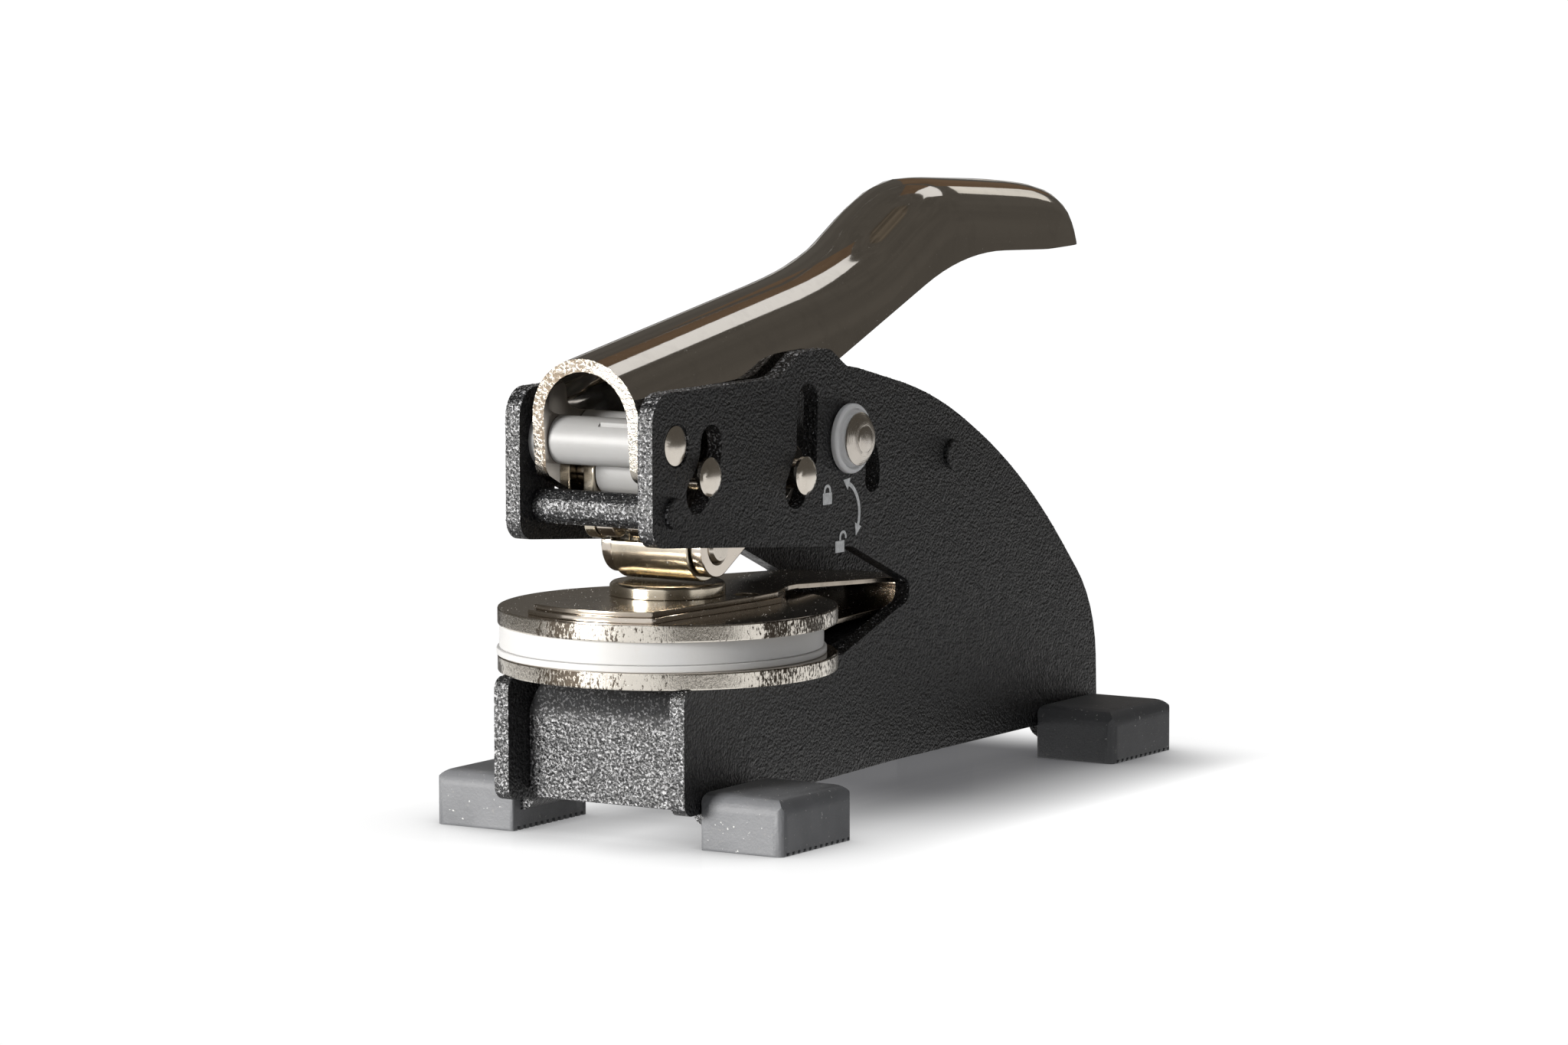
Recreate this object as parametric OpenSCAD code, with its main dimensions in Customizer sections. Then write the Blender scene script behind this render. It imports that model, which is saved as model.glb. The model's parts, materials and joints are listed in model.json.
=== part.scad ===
// Desk seal embosser: a lever press with a pull-out die clip.
// +X is the side with the lock knob, -Y is the open jaw, +Z is up.
// Side views are drawn as [y, z] with y = 0 at the lower jaw's front edge and z = 0 on the table.

/* [Frame plates] */
// Thickness of the two side plates
plate_t = 3; // [2:0.1:4]
// Half the width across the upper jaw, to the plates' outer faces
frame_half_w = 15.2; // [14.8:0.1:17]
// How far each plate's lower jaw has splayed out at its front edge
jaw_splay = 4.6; // [0:0.1:6]
// Height of the plates' lower edge
plate_low_z = 6.2; // [5.8:0.1:7]
// Height of the bed that carries the die clip
bed_z = 28; // [26:0.1:29]
// Height of the plates' top edge over the handle pivot
plate_top_z = 79.1; // [78:0.1:81]
// Setback of the lower jaw behind the upper jaw
jaw_setback = 2.6; // [1:0.1:4]
// Rear edge of the plates, from the lower jaw's front edge
plate_rear_y = 152.9; // [152:0.1:158]

/* [Linkage] */
// Handle pivot, from the lower jaw's front edge
pivot_y = 5.1; // [4.8:0.1:5.4]
// Handle pivot, above the table
pivot_z = 69.8; // [69.5:0.1:70.2]
// Handle pivot to press pin
crank_r = 11; // [10.6:0.1:11.4]
// Angle of the press pin under the pivot with the handle down
crank_angle = 33.7; // [32:0.1:35]
// How far the handle lifts
lift_angle = 28; // [20:1:28]
// Share of the handle's turn that the press arm makes
arm_turn = 0.45; // [0.43:0.01:0.47]
// Guide pin behind the press pin
guide_dy = 31.35; // [31.2:0.05:31.6]
// Guide pin below the press pin
guide_dz = 2.5; // [2.3:0.1:2.7]
// Radius of the handle pivot pin
pivot_pin_r = 3.45; // [3:0.05:3.6]
// Radius of the press and guide pins
link_pin_r = 2.5; // [2:0.05:2.6]
// Radius of the pin through the press shoe
shoe_pin_r = 3; // [2.4:0.1:3.2]
// Radius of the pins' outer heads
pin_head_r = 3.4; // [3:0.1:4]
// Radial clearance of a pin that turns in its bore
run_fit = 0.05; // [0.02:0.01:0.1]
// Radial clearance of a pin that is fixed in its bore
fixed_fit = 0.02; // [0.01:0.01:0.03]
// Half width of the press pin's slot
crank_slot_r = 3.45; // [3.2:0.05:3.6]
// Half width of the guide pin's slot
guide_slot_r = 3.5; // [3.3:0.05:3.7]

/* [Handle] */
// Thickness of the washer between the handle and each plate
washer_t = 1.1; // [0.9:0.1:1.4]
// Sheet thickness of the handle
handle_t = 2.3; // [1.8:0.1:2.5]
// Height of the handle's crest over the grip
grip_z = 110.6; // [108:0.1:114]
// Rear end of the handle
handle_rear_y = 155.5; // [153.6:0.1:159]

/* [Press arm] */
// Sheet thickness of the arms and links
arm_t = 2.2; // [1.8:0.1:2.3]
// Setback of each press arm's outer face from the handle's side
arm_setback = 0.5; // [0.3:0.1:0.8]
// Gap between each press arm and the link plate inside it
link_gap = 1; // [0.6:0.1:1.2]
// Outer radius of the press shoe under its pin
shoe_r = 6.25; // [6:0.05:6.5]
// Sheet thickness of the press shoe
shoe_t = 1.6; // [1.2:0.1:1.8]
// Radius of the arm's eye round the shoe pin
shoe_eye_r = 5.4; // [5:0.1:5.6]
// Gap between the shoe and the die's boss with the handle down
shoe_gap = 0.25; // [0.2:0.05:0.4]

/* [Die clip] */
// Radius of the two metal discs
disc_r = 30; // [28:0.1:31]
// Thickness of each metal disc
disc_t = 3; // [2.4:0.1:3.2]
// Centre of the discs behind the lower jaw's front edge
disc_y = 25.3; // [25:0.1:26]
// Height of the lower die blank
lower_die_t = 1.2; // [1:0.1:1.8]
// Height of the upper die blank
upper_die_t = 4.1; // [3.4:0.1:4.4]
// How far to the left the die blanks sit on their discs
blank_shift_x = 0.9; // [0:0.1:1]
// How far to the front the die blanks sit on their discs
blank_shift_y = 0.6; // [0:0.1:1]
// Radius of the boss that the shoe presses
boss_r = 10.25; // [8:0.05:11]
// Height of the boss
boss_t = 2.4; // [2:0.1:2.6]
// Thickness of each leaf
leaf_t = 0.95; // [0.8:0.05:1.1]
// Angle that the leaf lets the upper die rise
die_open_angle = 3.6; // [2:0.1:3.8]

/* [Lock] */
// Crank of the lock knob about its shaft
lock_crank_r = 6.9; // [6.4:0.1:7]
// Knob's angle at the locked end of its slot
lock_angle = 103; // [98:1:106]
// Turn from locked to open
lock_turn = 110; // [90:1:112]
// Radius of the white ring under the knob
ring_r = 6.3; // [5.8:0.1:6.6]
// Radius of the knob
knob_r = 4.8; // [4.4:0.1:5.2]

/* [Feet] */
// Foot size across the machine
foot_w = 16.8; // [15:0.1:18]
// Foot size along the machine
foot_l = 23.5; // [20:0.1:24]
// Foot height
foot_h = 10; // [9:0.1:10.5]
// Front foot, from the lower jaw's front edge
front_foot_y = 5.2; // [4.6:0.1:6]
// Rear foot, from the lower jaw's front edge
rear_foot_y = 129.2; // [127:0.1:129.4]
// Spacing of the grip grooves under the feet
groove_pitch = 1.8; // [1.4:0.05:2.2]

/* [Hidden] */
$fn = 48;
EPS = 0.01;

// clearances shared by several pieces
side_gap = 0.1;
head_gap = 0.3;
head_t = 1.5;
dome_h = 0.7;
round_step = 12;
round_chord = 3.5;

// frame
plate_in_x = frame_half_w - plate_t;
handle_half_w = plate_in_x - washer_t - side_gap;
handle_in_x = handle_half_w - handle_t;
arm_face_x = handle_half_w - arm_setback;
link_face_x = arm_face_x - arm_t - link_gap;
throat_y = 83;
bend_y = 78;
splay_angle = atan(jaw_splay / bend_y);
jaw_low_edge_z = 52.8;
upper_front_y = -jaw_setback;

// fixed places in side view
PIVOT = [pivot_y, pivot_z];
PRESS = PIVOT + crank_r * [cos(crank_angle), -sin(crank_angle)];
GUIDE = PRESS + [guide_dy, -guide_dz];
FRONT_SPACER = [4.1, 58.2];
REAR_SPACER = [98, 60.5];
LOCK = [62.9, 59.8];

// die clip, stacked up from the bed
lower_disc_z = bed_z;
lower_die_z = lower_disc_z + disc_t;
upper_die_z = lower_die_z + lower_die_t;
upper_disc_z = upper_die_z + upper_die_t;
stiffener_z = upper_disc_z + disc_t;
upper_leaf_z = stiffener_z + leaf_t;
boss_z = upper_leaf_z + leaf_t;
boss_top_z = boss_z + boss_t;
lower_die_r = disc_r - 0.9;
upper_die_r = disc_r - 1.4;

// the shoe stands over the boss, and its pin stands over the shoe
SHOE = [disc_y, boss_top_z + shoe_gap + shoe_r];

// the clip's bend, where the upper leaf springs
bend_r = 1.3;
BEND = [102.4, lower_die_z + 4.3];
leaf_half_w = plate_in_x - 0.8;
paddle_half_w = 15.9;

// spacers
spacer_r = 3.05;
tenon_r = 2.7;
rear_tenon_r = 2.75;
tenon_proud = 0.75;

// linkage details
sleeve_r = 4.25;
washer_r = 5.2;
press_eye_r = 5.4;
link_eye_r = 4.6;
guide_eye_r = 5.2;
SPREADER = [12.9, 55.2];
spreader_r = 1.6;
spreader_eye_r = 3.2;
BUMPER = PIVOT + [8, 1.8];
bumper_r = 2.75;
bumper_pin_r = 1.4;
guide_sleeve_r = 3.4;

// lock details
lock_shaft_r = 2.5;
lock_slot_r = 2.5;
stud_r = 2;
KNOB = LOCK + lock_crank_r * [cos(lock_angle), sin(lock_angle)];
crank_face_x = plate_in_x - 0.8;
crank_t = 2.4;
crank_eye_r = 4.6;
stud_eye_r = 3.6;
cam_half_t = 2;
cam_r = 5;

// feet and ears
ear_t = plate_t;
ear_z = 3.6;
ear_w = 11.5;
ear_l = 17;
ear_inset = 2.5;
pocket_gap = 0.05;

// whole object, for the origin under the middle of its bounding box
front_y = disc_y - disc_r;
mid_y = (front_y + handle_rear_y) / 2;

// ---- colours, as the eye sees them ----
PAINT = [0.13, 0.13, 0.14];
NICKEL = [0.62, 0.58, 0.52];
NYLON = [0.93, 0.93, 0.92];
RUBBER = [0.30, 0.31, 0.33];
LEAF = [0.45, 0.42, 0.38];

// ---- helpers ----
function unit(v) = v / norm(v);

// Points of the arc that rounds corner b of the path a-b-c.
function corner_arc(a, b, c, r) =
    let (u = unit(a - b),
         w = unit(c - b),
         half = acos(u * w) / 2,
         centre = b + unit(u + w) * r / sin(half),
         s = b + u * r / tan(half) - centre,
         e = b + w * r / tan(half) - centre,
         start = atan2(s.y, s.x),
         raw = atan2(e.y, e.x) - start,
         sweep = raw > 180 ? raw - 360 : raw < -180 ? raw + 360 : raw,
         step = min(round_step, round_chord / r * 180 / PI),
         n = max(2, ceil(abs(sweep) / step)))
    [for (i = [0 : n]) centre + r * [cos(start + sweep * i / n), sin(start + sweep * i / n)]];

// A closed outline from corners [y, z, radius].
function rounded(corners) =
    let (n = len(corners), p = [for (c = corners) [c[0], c[1]]])
    [for (i = [0 : n - 1])
        each corners[i][2] > 0
            ? corner_arc(p[(i + n - 1) % n], p[i], p[(i + 1) % n], corners[i][2])
            : [p[i]]];

// Extrudes a [y, z] outline across the machine, from x0 to x1.
module across(x0, x1) {
    translate([x0, 0, 0]) rotate([90, 0, 90]) linear_extrude(x1 - x0) children();
}

// A cylinder across the machine at the side-view place p.
module rod(p, r, x0, x1) {
    translate([x0, p.x, p.y]) rotate([0, 90, 0]) cylinder(r = r, h = x1 - x0);
}

// A tube across the machine.
module tube(p, r, bore_r, x0, x1) {
    difference() {
        rod(p, r, x0, x1);
        rod(p, bore_r, x0 - 1, x1 + 1);
    }
}

// A turned shape whose [radius, x] outline is spun round an axis across the machine.
module turned(p, outline) {
    translate([0, p.x, p.y]) rotate([90, 0, 90]) rotate_extrude() polygon(outline);
}

// A plain pin with a low domed end on each side.
module domed_pin(p, r, half_len) {
    turned(p, [
        [0, -half_len - dome_h], [r * 0.6, -half_len - dome_h * 0.7], [r, -half_len],
        [r, half_len], [r * 0.6, half_len + dome_h * 0.7], [0, half_len + dome_h]
    ]);
}

// A pin with a domed head outside each plate.
module headed_pin(p, r, head) {
    x_in = frame_half_w + head_gap;
    x_out = x_in + head_t;
    right = [[r, x_in], [head, x_in], [head, x_in + head_t * 0.45], [head * 0.8, x_in + head_t * 0.8],
             [head * 0.45, x_out], [0, x_out]];
    left = [for (i = [len(right) - 1 : -1 : 0]) [right[i].x, -right[i].y]];
    turned(p, concat(left, right));
}

// Cuts a slot with round ends along a path of side-view points.
module slot_path(path, r, x0, x1) {
    for (p = path) rod(p, r, x0, x1);
    for (i = [0 : len(path) - 2]) {
        d = path[i + 1] - path[i];
        across(x0, x1) translate(path[i]) rotate(atan2(d.y, d.x)) translate([0, 0.03 - r])
            square([norm(d), 2 * r - 0.06]);
    }
}

// Cuts an arc slot about a centre, from angle a0 to a1.
module slot_arc(centre, arc_r, r, a0, a1, x0, x1) {
    steps = 16;
    half = r - 0.03;
    angles = [for (i = [0 : steps]) a0 + (a1 - a0) * i / steps];
    outer = [for (a = angles) (arc_r + half) * [cos(a), sin(a)]];
    inner = [for (i = [steps : -1 : 0]) (arc_r - half) * [cos(angles[i]), sin(angles[i])]];
    across(x0, x1) translate(centre) polygon(concat(outer, inner));
    for (a = [a0, a1]) rod(centre + arc_r * [cos(a), sin(a)], r, x0, x1);
}

// A straight bar across x0 to x1, with a round end of its own radius at each of two places.
module bar(p, pr, q, qr, x0, x1) {
    d = norm(q - p);
    lean = asin((pr - qr) / d);
    turn = atan2(q.y - p.y, q.x - p.x);
    a = pr - 0.02;
    b = qr - 0.02;
    rod(p, pr, x0, x1);
    rod(q, qr, x0, x1);
    across(x0, x1) translate(p) rotate(turn) polygon([
        a * [sin(lean), cos(lean)], [d, 0] + b * [sin(lean), cos(lean)],
        [d, 0] + b * [sin(lean), -cos(lean)], a * [sin(lean), -cos(lean)]
    ]);
}

// Puts the origin under the middle of the machine.
module placed() {
    translate([0, -mid_y, 0]) children();
}

// Where the arm and the pins stand when the handle is lifted by t degrees.
function turned_by(v, a) = [v.x * cos(a) - v.y * sin(a), v.x * sin(a) + v.y * cos(a)];
function press_at(t) = PIVOT + turned_by(PRESS - PIVOT, t);
function guide_at(t) = press_at(t) + turned_by(GUIDE - PRESS, arm_turn * t);

// ---- side plates ----
guide_slot_path = [GUIDE + [-1.9, -2.3], GUIDE + [1.7, 3.4], [guide_at(lift_angle).x + 0.5, 73.9]];

module plate_outline() {
    polygon(rounded([
        [upper_front_y, jaw_low_edge_z, 3.7],
        [upper_front_y, plate_top_z, 5.2],
        [38, plate_top_z, 9],
        [45.4, plate_top_z + 4, 5],
        [55.2, plate_top_z + 4, 5],
        [61, plate_top_z + 0.4, 4],
        [64.5, plate_top_z - 0.1, 0],
        [plate_rear_y - 60.9, plate_top_z - 6.7, 104],
        [plate_rear_y - 28.6, plate_top_z - 23.9, 136],
        [plate_rear_y - 0.7, plate_top_z - 51.7, 26],
        [plate_rear_y, plate_low_z, 0],
        [0, plate_low_z, 2.6],
        [0, bed_z, 2.4],
        [57.5, bed_z, 6],
        [82.2, 35, 1.8],
        [throat_y, 38.5, 1.8],
        [62.8, 46.9, 6]
    ]));
}

module plate_openings(x0, x1) {
    slot_arc(PIVOT, crank_r, crank_slot_r, -54, -3.5, x0, x1);
    slot_path(guide_slot_path, guide_slot_r, x0, x1);
    slot_arc(LOCK, lock_crank_r, lock_slot_r, lock_angle - lock_turn - 3, lock_angle + 3, x0, x1);
}

// How far out the splayed plate has come where the front foot begins.
front_foot_shift = (bend_y - front_foot_y) * tan(splay_angle);

// Plan view of the plate's sheet, from the front edge back; the lower jaw's sheet splays from the bend.
module sheet_plan(splay) {
    front = -20;
    run = bend_y - front;
    out = splay * run * tan(splay_angle);
    thick = plate_t / cos(splay_angle);
    knee = splay * plate_t * tan(splay_angle / 2);
    polygon([
        [plate_in_x, 170], [plate_in_x, bend_y], [plate_in_x + out, front],
        [plate_in_x + out + (splay > 0 ? thick : plate_t), front],
        [plate_in_x + plate_t, bend_y + knee], [plate_in_x + plate_t, 170]
    ]);
}

// An ear bent out of the plate's lower edge, which the rubber foot grips.
module ear(y0, length) {
    x_in = plate_in_x + 0.03;
    x_out = plate_in_x + plate_t;
    top_z = ear_z + ear_t;
    translate([0, y0 + length, 0]) rotate([90, 0, 0]) linear_extrude(length) polygon(rounded([
        [x_in, plate_low_z + 2, 0], [x_in, ear_z, plate_t - 0.1], [x_out + ear_w, ear_z, 0],
        [x_out + ear_w, top_z, 0], [x_out - 0.03, top_z, 0], [x_out - 0.03, plate_low_z + 2, 0]
    ]));
}

module right_plate() {
    jaw_z = 37;
    difference() {
        union() {
            intersection() {
                across(0, 40) plate_outline();
                union() {
                    translate([0, 0, -1]) linear_extrude(jaw_z + 1) sheet_plan(1);
                    translate([0, 0, jaw_z]) linear_extrude(100) sheet_plan(0);
                }
            }
            translate([front_foot_shift, 0, 0]) ear(front_foot_y + ear_inset, ear_l);
            ear(rear_foot_y + ear_inset, ear_l);
        }
        plate_openings(plate_in_x - 1, frame_half_w + 1);
        rod(PIVOT, pivot_pin_r + fixed_fit, plate_in_x - 1, frame_half_w + 1);
        rod(PIVOT, pivot_pin_r + 0.4, frame_half_w - 0.4, frame_half_w + 1);
        rod(FRONT_SPACER, tenon_r + fixed_fit, plate_in_x - 1, frame_half_w + 1);
        rod(REAR_SPACER, rear_tenon_r + fixed_fit, plate_in_x - 1, frame_half_w + 1);
        rod(LOCK, lock_shaft_r + run_fit, plate_in_x - 1, plate_in_x + 1.4);
    }
}

module right_side_plate() {
    color(PAINT) right_plate();
}

module left_side_plate() {
    color(PAINT) mirror([1, 0, 0]) right_plate();
}

// ---- pieces between the plates ----
bed_front_y = 5.8;
bed_rear_y = 57.5;
bed_t = 2.6;
throat_t = 2.4;
throat_z = bed_z + 4.4;

// The space between the plates, which narrows to the rear as far as the bend.
function inside_half_w(y) = plate_in_x + max(0, bend_y - y) * tan(splay_angle) - side_gap;
module between_plates(y0, y1) {
    kink = min(bend_y, y1);
    linear_extrude(bed_z + 20) polygon([
        [-inside_half_w(y0), y0], [inside_half_w(y0), y0], [inside_half_w(kink), kink], [inside_half_w(y1), y1],
        [-inside_half_w(y1), y1], [-inside_half_w(kink), kink]
    ]);
}

// The folded channel that fills the lower jaw and carries the die clip.
module bed_channel() {
    low_z = plate_low_z + 0.2;
    chamfer = 2.2;
    color(PAINT) intersection() {
        between_plates(bed_front_y, bed_rear_y);
        difference() {
            across(-30, 30) difference() {
                polygon(rounded([
                    [bed_front_y, low_z, 0], [bed_front_y, bed_z, 3.6],
                    [bed_rear_y, bed_z, 0], [bed_rear_y, bed_z - bed_t, 0],
                    [bed_front_y + bed_t + 26, bed_z - bed_t, 0], [bed_front_y + bed_t + 26, low_z, 0]
                ]));
                polygon([
                    [bed_front_y + bed_t, low_z - 1], [bed_front_y + bed_t, bed_z - bed_t],
                    [bed_front_y + 26, bed_z - bed_t], [bed_front_y + 26, low_z - 1]
                ]);
            }
            for (side = [0, 1]) mirror([side, 0, 0]) {
                edge_x = inside_half_w(bed_front_y);
                translate([edge_x, bed_front_y, low_z]) rotate([0, 45, 0])
                    cube([chamfer, 8, chamfer], center = true);
                translate([0, bed_front_y + 3.4, 0]) rotate([90, 0, 0]) linear_extrude(6)
                    polygon([[edge_x + 2, bed_z - 6.2], [edge_x + 0.1, bed_z - 6.2], [edge_x - 2.4, bed_z - 0.8],
                             [edge_x - 3.4, bed_z + 1], [edge_x + 2, bed_z + 1]]);
            }
        }
    }
}

// The sloping floor of the throat.
module throat_plate() {
    y0 = bed_rear_y + side_gap;
    y1 = 104;
    top = throat_z;
    color(PAINT) intersection() {
        between_plates(y0, 112);
        across(-30, 30) polygon([
            [y0, bed_z], [y0 + 2, bed_z + 1.4], [82, top], [y1, top], [y1, top - throat_t],
            [82.3, top - throat_t], [y0 + 2.6, bed_z + 1.2 - throat_t], [y0, bed_z - throat_t]
        ]);
    }
}

module spacer(p, r, end_r) {
    shoulder = plate_in_x - side_gap / 2;
    tip = frame_half_w + tenon_proud;
    turned(p, [
        [0, -tip], [end_r - 0.2, -tip], [end_r, 0.2 - tip], [end_r, -shoulder], [r, -shoulder],
        [r, shoulder], [end_r, shoulder], [end_r, tip - 0.2], [end_r - 0.2, tip], [0, tip]
    ]);
}

module front_spacer() {
    color(PAINT) spacer(FRONT_SPACER, spacer_r, tenon_r);
}

module rear_spacer() {
    color(PAINT) spacer(REAR_SPACER, spacer_r, rear_tenon_r);
}

module pivot_pin() {
    color(NICKEL) domed_pin(PIVOT, pivot_pin_r, frame_half_w - 0.2);
}

module pivot_washers() {
    color(NYLON) for (side = [0, 1]) mirror([side, 0, 0])
        tube(PIVOT, washer_r, pivot_pin_r + run_fit, handle_half_w + side_gap / 2, plate_in_x - side_gap / 2);
}

// ---- feet ----
// A rubber block with rounded top edges and corners and a grooved sole, drawn with its inner face at x = 0.
module foot_block() {
    edge = 3.2;
    corner = 2;
    groove_n = floor((foot_l - 2 * groove_pitch) / groove_pitch);
    groove_w = groove_pitch * 0.45;
    groove_h = 0.7;
    intersection() {
        translate([0, 0, -1]) linear_extrude(foot_h + 2)
            polygon(rounded([[0, 0, 0.8], [foot_w, 0, corner], [foot_w, foot_l, corner], [0, foot_l, 0.8]]));
        across(0, foot_w) difference() {
            polygon(rounded([[0, 0, 0.5], [0, foot_h, edge], [foot_l, foot_h, edge], [foot_l, 0, 0.5]]));
            for (i = [0 : groove_n]) translate([groove_pitch * (i + 0.8), -1]) square([groove_w, 1 + groove_h]);
        }
        translate([0, foot_l + 1, 0]) rotate([90, 0, 0]) linear_extrude(foot_l + 2)
            polygon(rounded([[0, 0, 0], [0, foot_h, 0.8], [foot_w, foot_h, edge], [foot_w, 0, 0.5]]));
    }
}

module foot(y0) {
    color(RUBBER) difference() {
        translate([frame_half_w + pocket_gap, y0, 0]) foot_block();
        translate([frame_half_w - 1, y0 + ear_inset - pocket_gap, ear_z - pocket_gap])
            cube([ear_w + 1 + pocket_gap, ear_l + 2 * pocket_gap, ear_t + 2 * pocket_gap]);
    }
}

module front_right_foot() {
    translate([front_foot_shift, 0, 0]) foot(front_foot_y);
}

module rear_right_foot() {
    foot(rear_foot_y);
}

module front_left_foot() {
    mirror([1, 0, 0]) front_right_foot();
}

module rear_left_foot() {
    mirror([1, 0, 0]) rear_right_foot();
}

// ---- handle ----
// Stations along the crest: [place, share of the rise to the grip, squareness of the section, share of the width].
// The neck's places are distances from the lower jaw's front edge, the grip's are shares of its length.
neck_crest_z = pivot_z + 13.6;
grip_y = 106.5;
neck = [
    [-8, 0, 2, 1], [-2, 0.04, 2, 1], [16, 0.147, 2, 1], [34, 0.26, 2, 1], [51, 0.358, 2.05, 1],
    [64, 0.438, 2.1, 1], [74, 0.521, 2.15, 1], [83.5, 0.633, 2.2, 1], [91, 0.77, 2.25, 1], [98.5, 0.905, 2.3, 1]
];
grip = [
    [0, 0.997, 2.35, 1], [0.245, 0.984, 2.4, 1], [0.5, 0.957, 2.4, 1], [0.704, 0.927, 2.4, 1],
    [0.837, 0.893, 2.4, 1], [0.918, 0.846, 2.4, 0.99], [0.971, 0.71, 2.4, 0.92], [1, 0.55, 2.4, 0.8]
];
crest = concat(neck, [for (g = grip) [grip_y + g[0] * (handle_rear_y - grip_y), g[1], g[2], g[3]]]);
arch_h = handle_half_w;
arch_steps = 16;
station_split = 2;

// Smooth value between stations i and i + 1, at share s.
function blend(a, b, c, d, s) =
    0.5 * (2 * b + (c - a) * s + (2 * a - 5 * b + 4 * c - d) * s * s + (3 * b - a - 3 * c + d) * s * s * s);
function station(k) =
    let (last = len(crest) - 1, i = min(floor(k), last - 1), s = k - i)
    blend(crest[max(i - 1, 0)], crest[i], crest[i + 1], crest[min(i + 2, last)], s);

// Superellipse share of height at angle a of the arch, and its share of width.
function arch_x(a, n) = sign(cos(a)) * pow(abs(cos(a)), 2 / n);
function arch_z(a, n) = pow(abs(sin(a)), 2 / n);

// One ring of the handle's section, inset by the sheet thickness for the inner skin.
function handle_ring(st, inset, low_z) =
    let (top = neck_crest_z + st[1] * (grip_z - neck_crest_z) - inset,
         half = handle_half_w * st[3] - inset,
         rise = arch_h - inset,
         y = st[0])
    concat(
        [[half, y, low_z]],
        [for (i = [0 : arch_steps]) let (a = 180 * i / arch_steps)
            [half * arch_x(a, st[2]), y, top - rise + rise * arch_z(a, st[2])]],
        [[-half, y, low_z]]);

// Solid swept through the rings, closed at both ends.
module swept(rings) {
    n = len(rings[0]);
    m = len(rings);
    points = [for (ring = rings) each ring];
    sides = [for (j = [0 : m - 2], i = [0 : n - 1])
        each let (a = j * n + i, b = j * n + (i + 1) % n, c = a + n, d = b + n) [[a, b, d], [a, d, c]]];
    first = [for (i = [n - 2 : -1 : 1]) [0, i + 1, i]];
    polyhedron(points, concat(
        sides,
        first,
        [for (i = [1 : n - 2]) [(m - 1) * n, (m - 1) * n + i, (m - 1) * n + i + 1]]
    ));
}

module handle_skin(inset, low_z, last_k) {
    swept([for (k = [0 : 1 / station_split : last_k]) handle_ring(station(k), inset, low_z)]);
}

// Side view of the handle's walls: only the lower and front edges matter.
module handle_side(x0, x1) {
    across(x0, x1) polygon(rounded([
        [upper_front_y - 1.2, grip_z + 5, 0],
        [handle_rear_y + 5, grip_z + 5, 0],
        [handle_rear_y + 5, grip_z - 14.4, 0],
        [handle_rear_y - 14.5, grip_z - 14.8, 60],
        [grip_y + 3.1, grip_z - 13.5, 73],
        [pivot_y + 17.9, pivot_z - 5.4, 8],
        [PRESS.x + 4.2, PRESS.y - press_eye_r + 2.1, 0],
        [PRESS.x, PRESS.y - press_eye_r, 0],
        [PRESS.x - 3, PRESS.y - press_eye_r + 0.8, 0],
        [pivot_y - 4.7, pivot_z - 5.6, 3]
    ]));
    rod(PRESS, press_eye_r, x0, x1);
}

module handle() {
    color(NICKEL) difference() {
        intersection() {
            difference() {
                handle_skin(0, 50, len(crest) - 1);
                handle_skin(handle_t, 49, len(crest) - 2.5);
            }
            handle_side(-handle_half_w - 1, handle_half_w + 1);
        }
        rod(PIVOT, pivot_pin_r + run_fit, -handle_half_w - 1, handle_half_w + 1);
        rod(PRESS, link_pin_r + fixed_fit, -handle_half_w - 1, handle_half_w + 1);
        rod(BUMPER, bumper_pin_r + fixed_fit, -handle_half_w - 1, handle_half_w + 1);
    }
}

module pivot_sleeve() {
    color(NYLON) difference() {
        tube(PIVOT, sleeve_r, pivot_pin_r + run_fit, -handle_in_x + side_gap, handle_in_x - side_gap);
        translate([1, PIVOT.x - 3.2, PIVOT.y + sleeve_r - 1.6]) rotate([-20, 0, 0]) cube([8, 0.5, 3]);
    }
}

module press_pin() {
    color(NICKEL) headed_pin(PRESS, link_pin_r, pin_head_r);
}

module press_sleeve() {
    half = link_face_x - arm_t - side_gap;
    color(NYLON) tube(PRESS, sleeve_r, link_pin_r + run_fit, -half, half);
}

module bumper_pin() {
    color(NICKEL) rod(BUMPER, bumper_pin_r, -handle_half_w, handle_half_w);
}

module bumper_sleeve() {
    color(NYLON) tube(BUMPER, bumper_r, bumper_pin_r + fixed_fit, -handle_in_x + side_gap, handle_in_x - side_gap);
}

// ---- press arm ----
module press_arm(side) {
    mirror([side < 0 ? 1 : 0, 0, 0]) difference() {
        bar(SHOE, shoe_eye_r, GUIDE, guide_eye_r, arm_face_x - arm_t, arm_face_x);
        rod(SHOE, shoe_pin_r + fixed_fit, arm_face_x - arm_t - 1, arm_face_x + 1);
        rod(GUIDE, link_pin_r + fixed_fit, arm_face_x - arm_t - 1, arm_face_x + 1);
    }
}

module right_press_arm() {
    color(NICKEL) press_arm(1);
}

module left_press_arm() {
    color(NICKEL) press_arm(-1);
}

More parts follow.
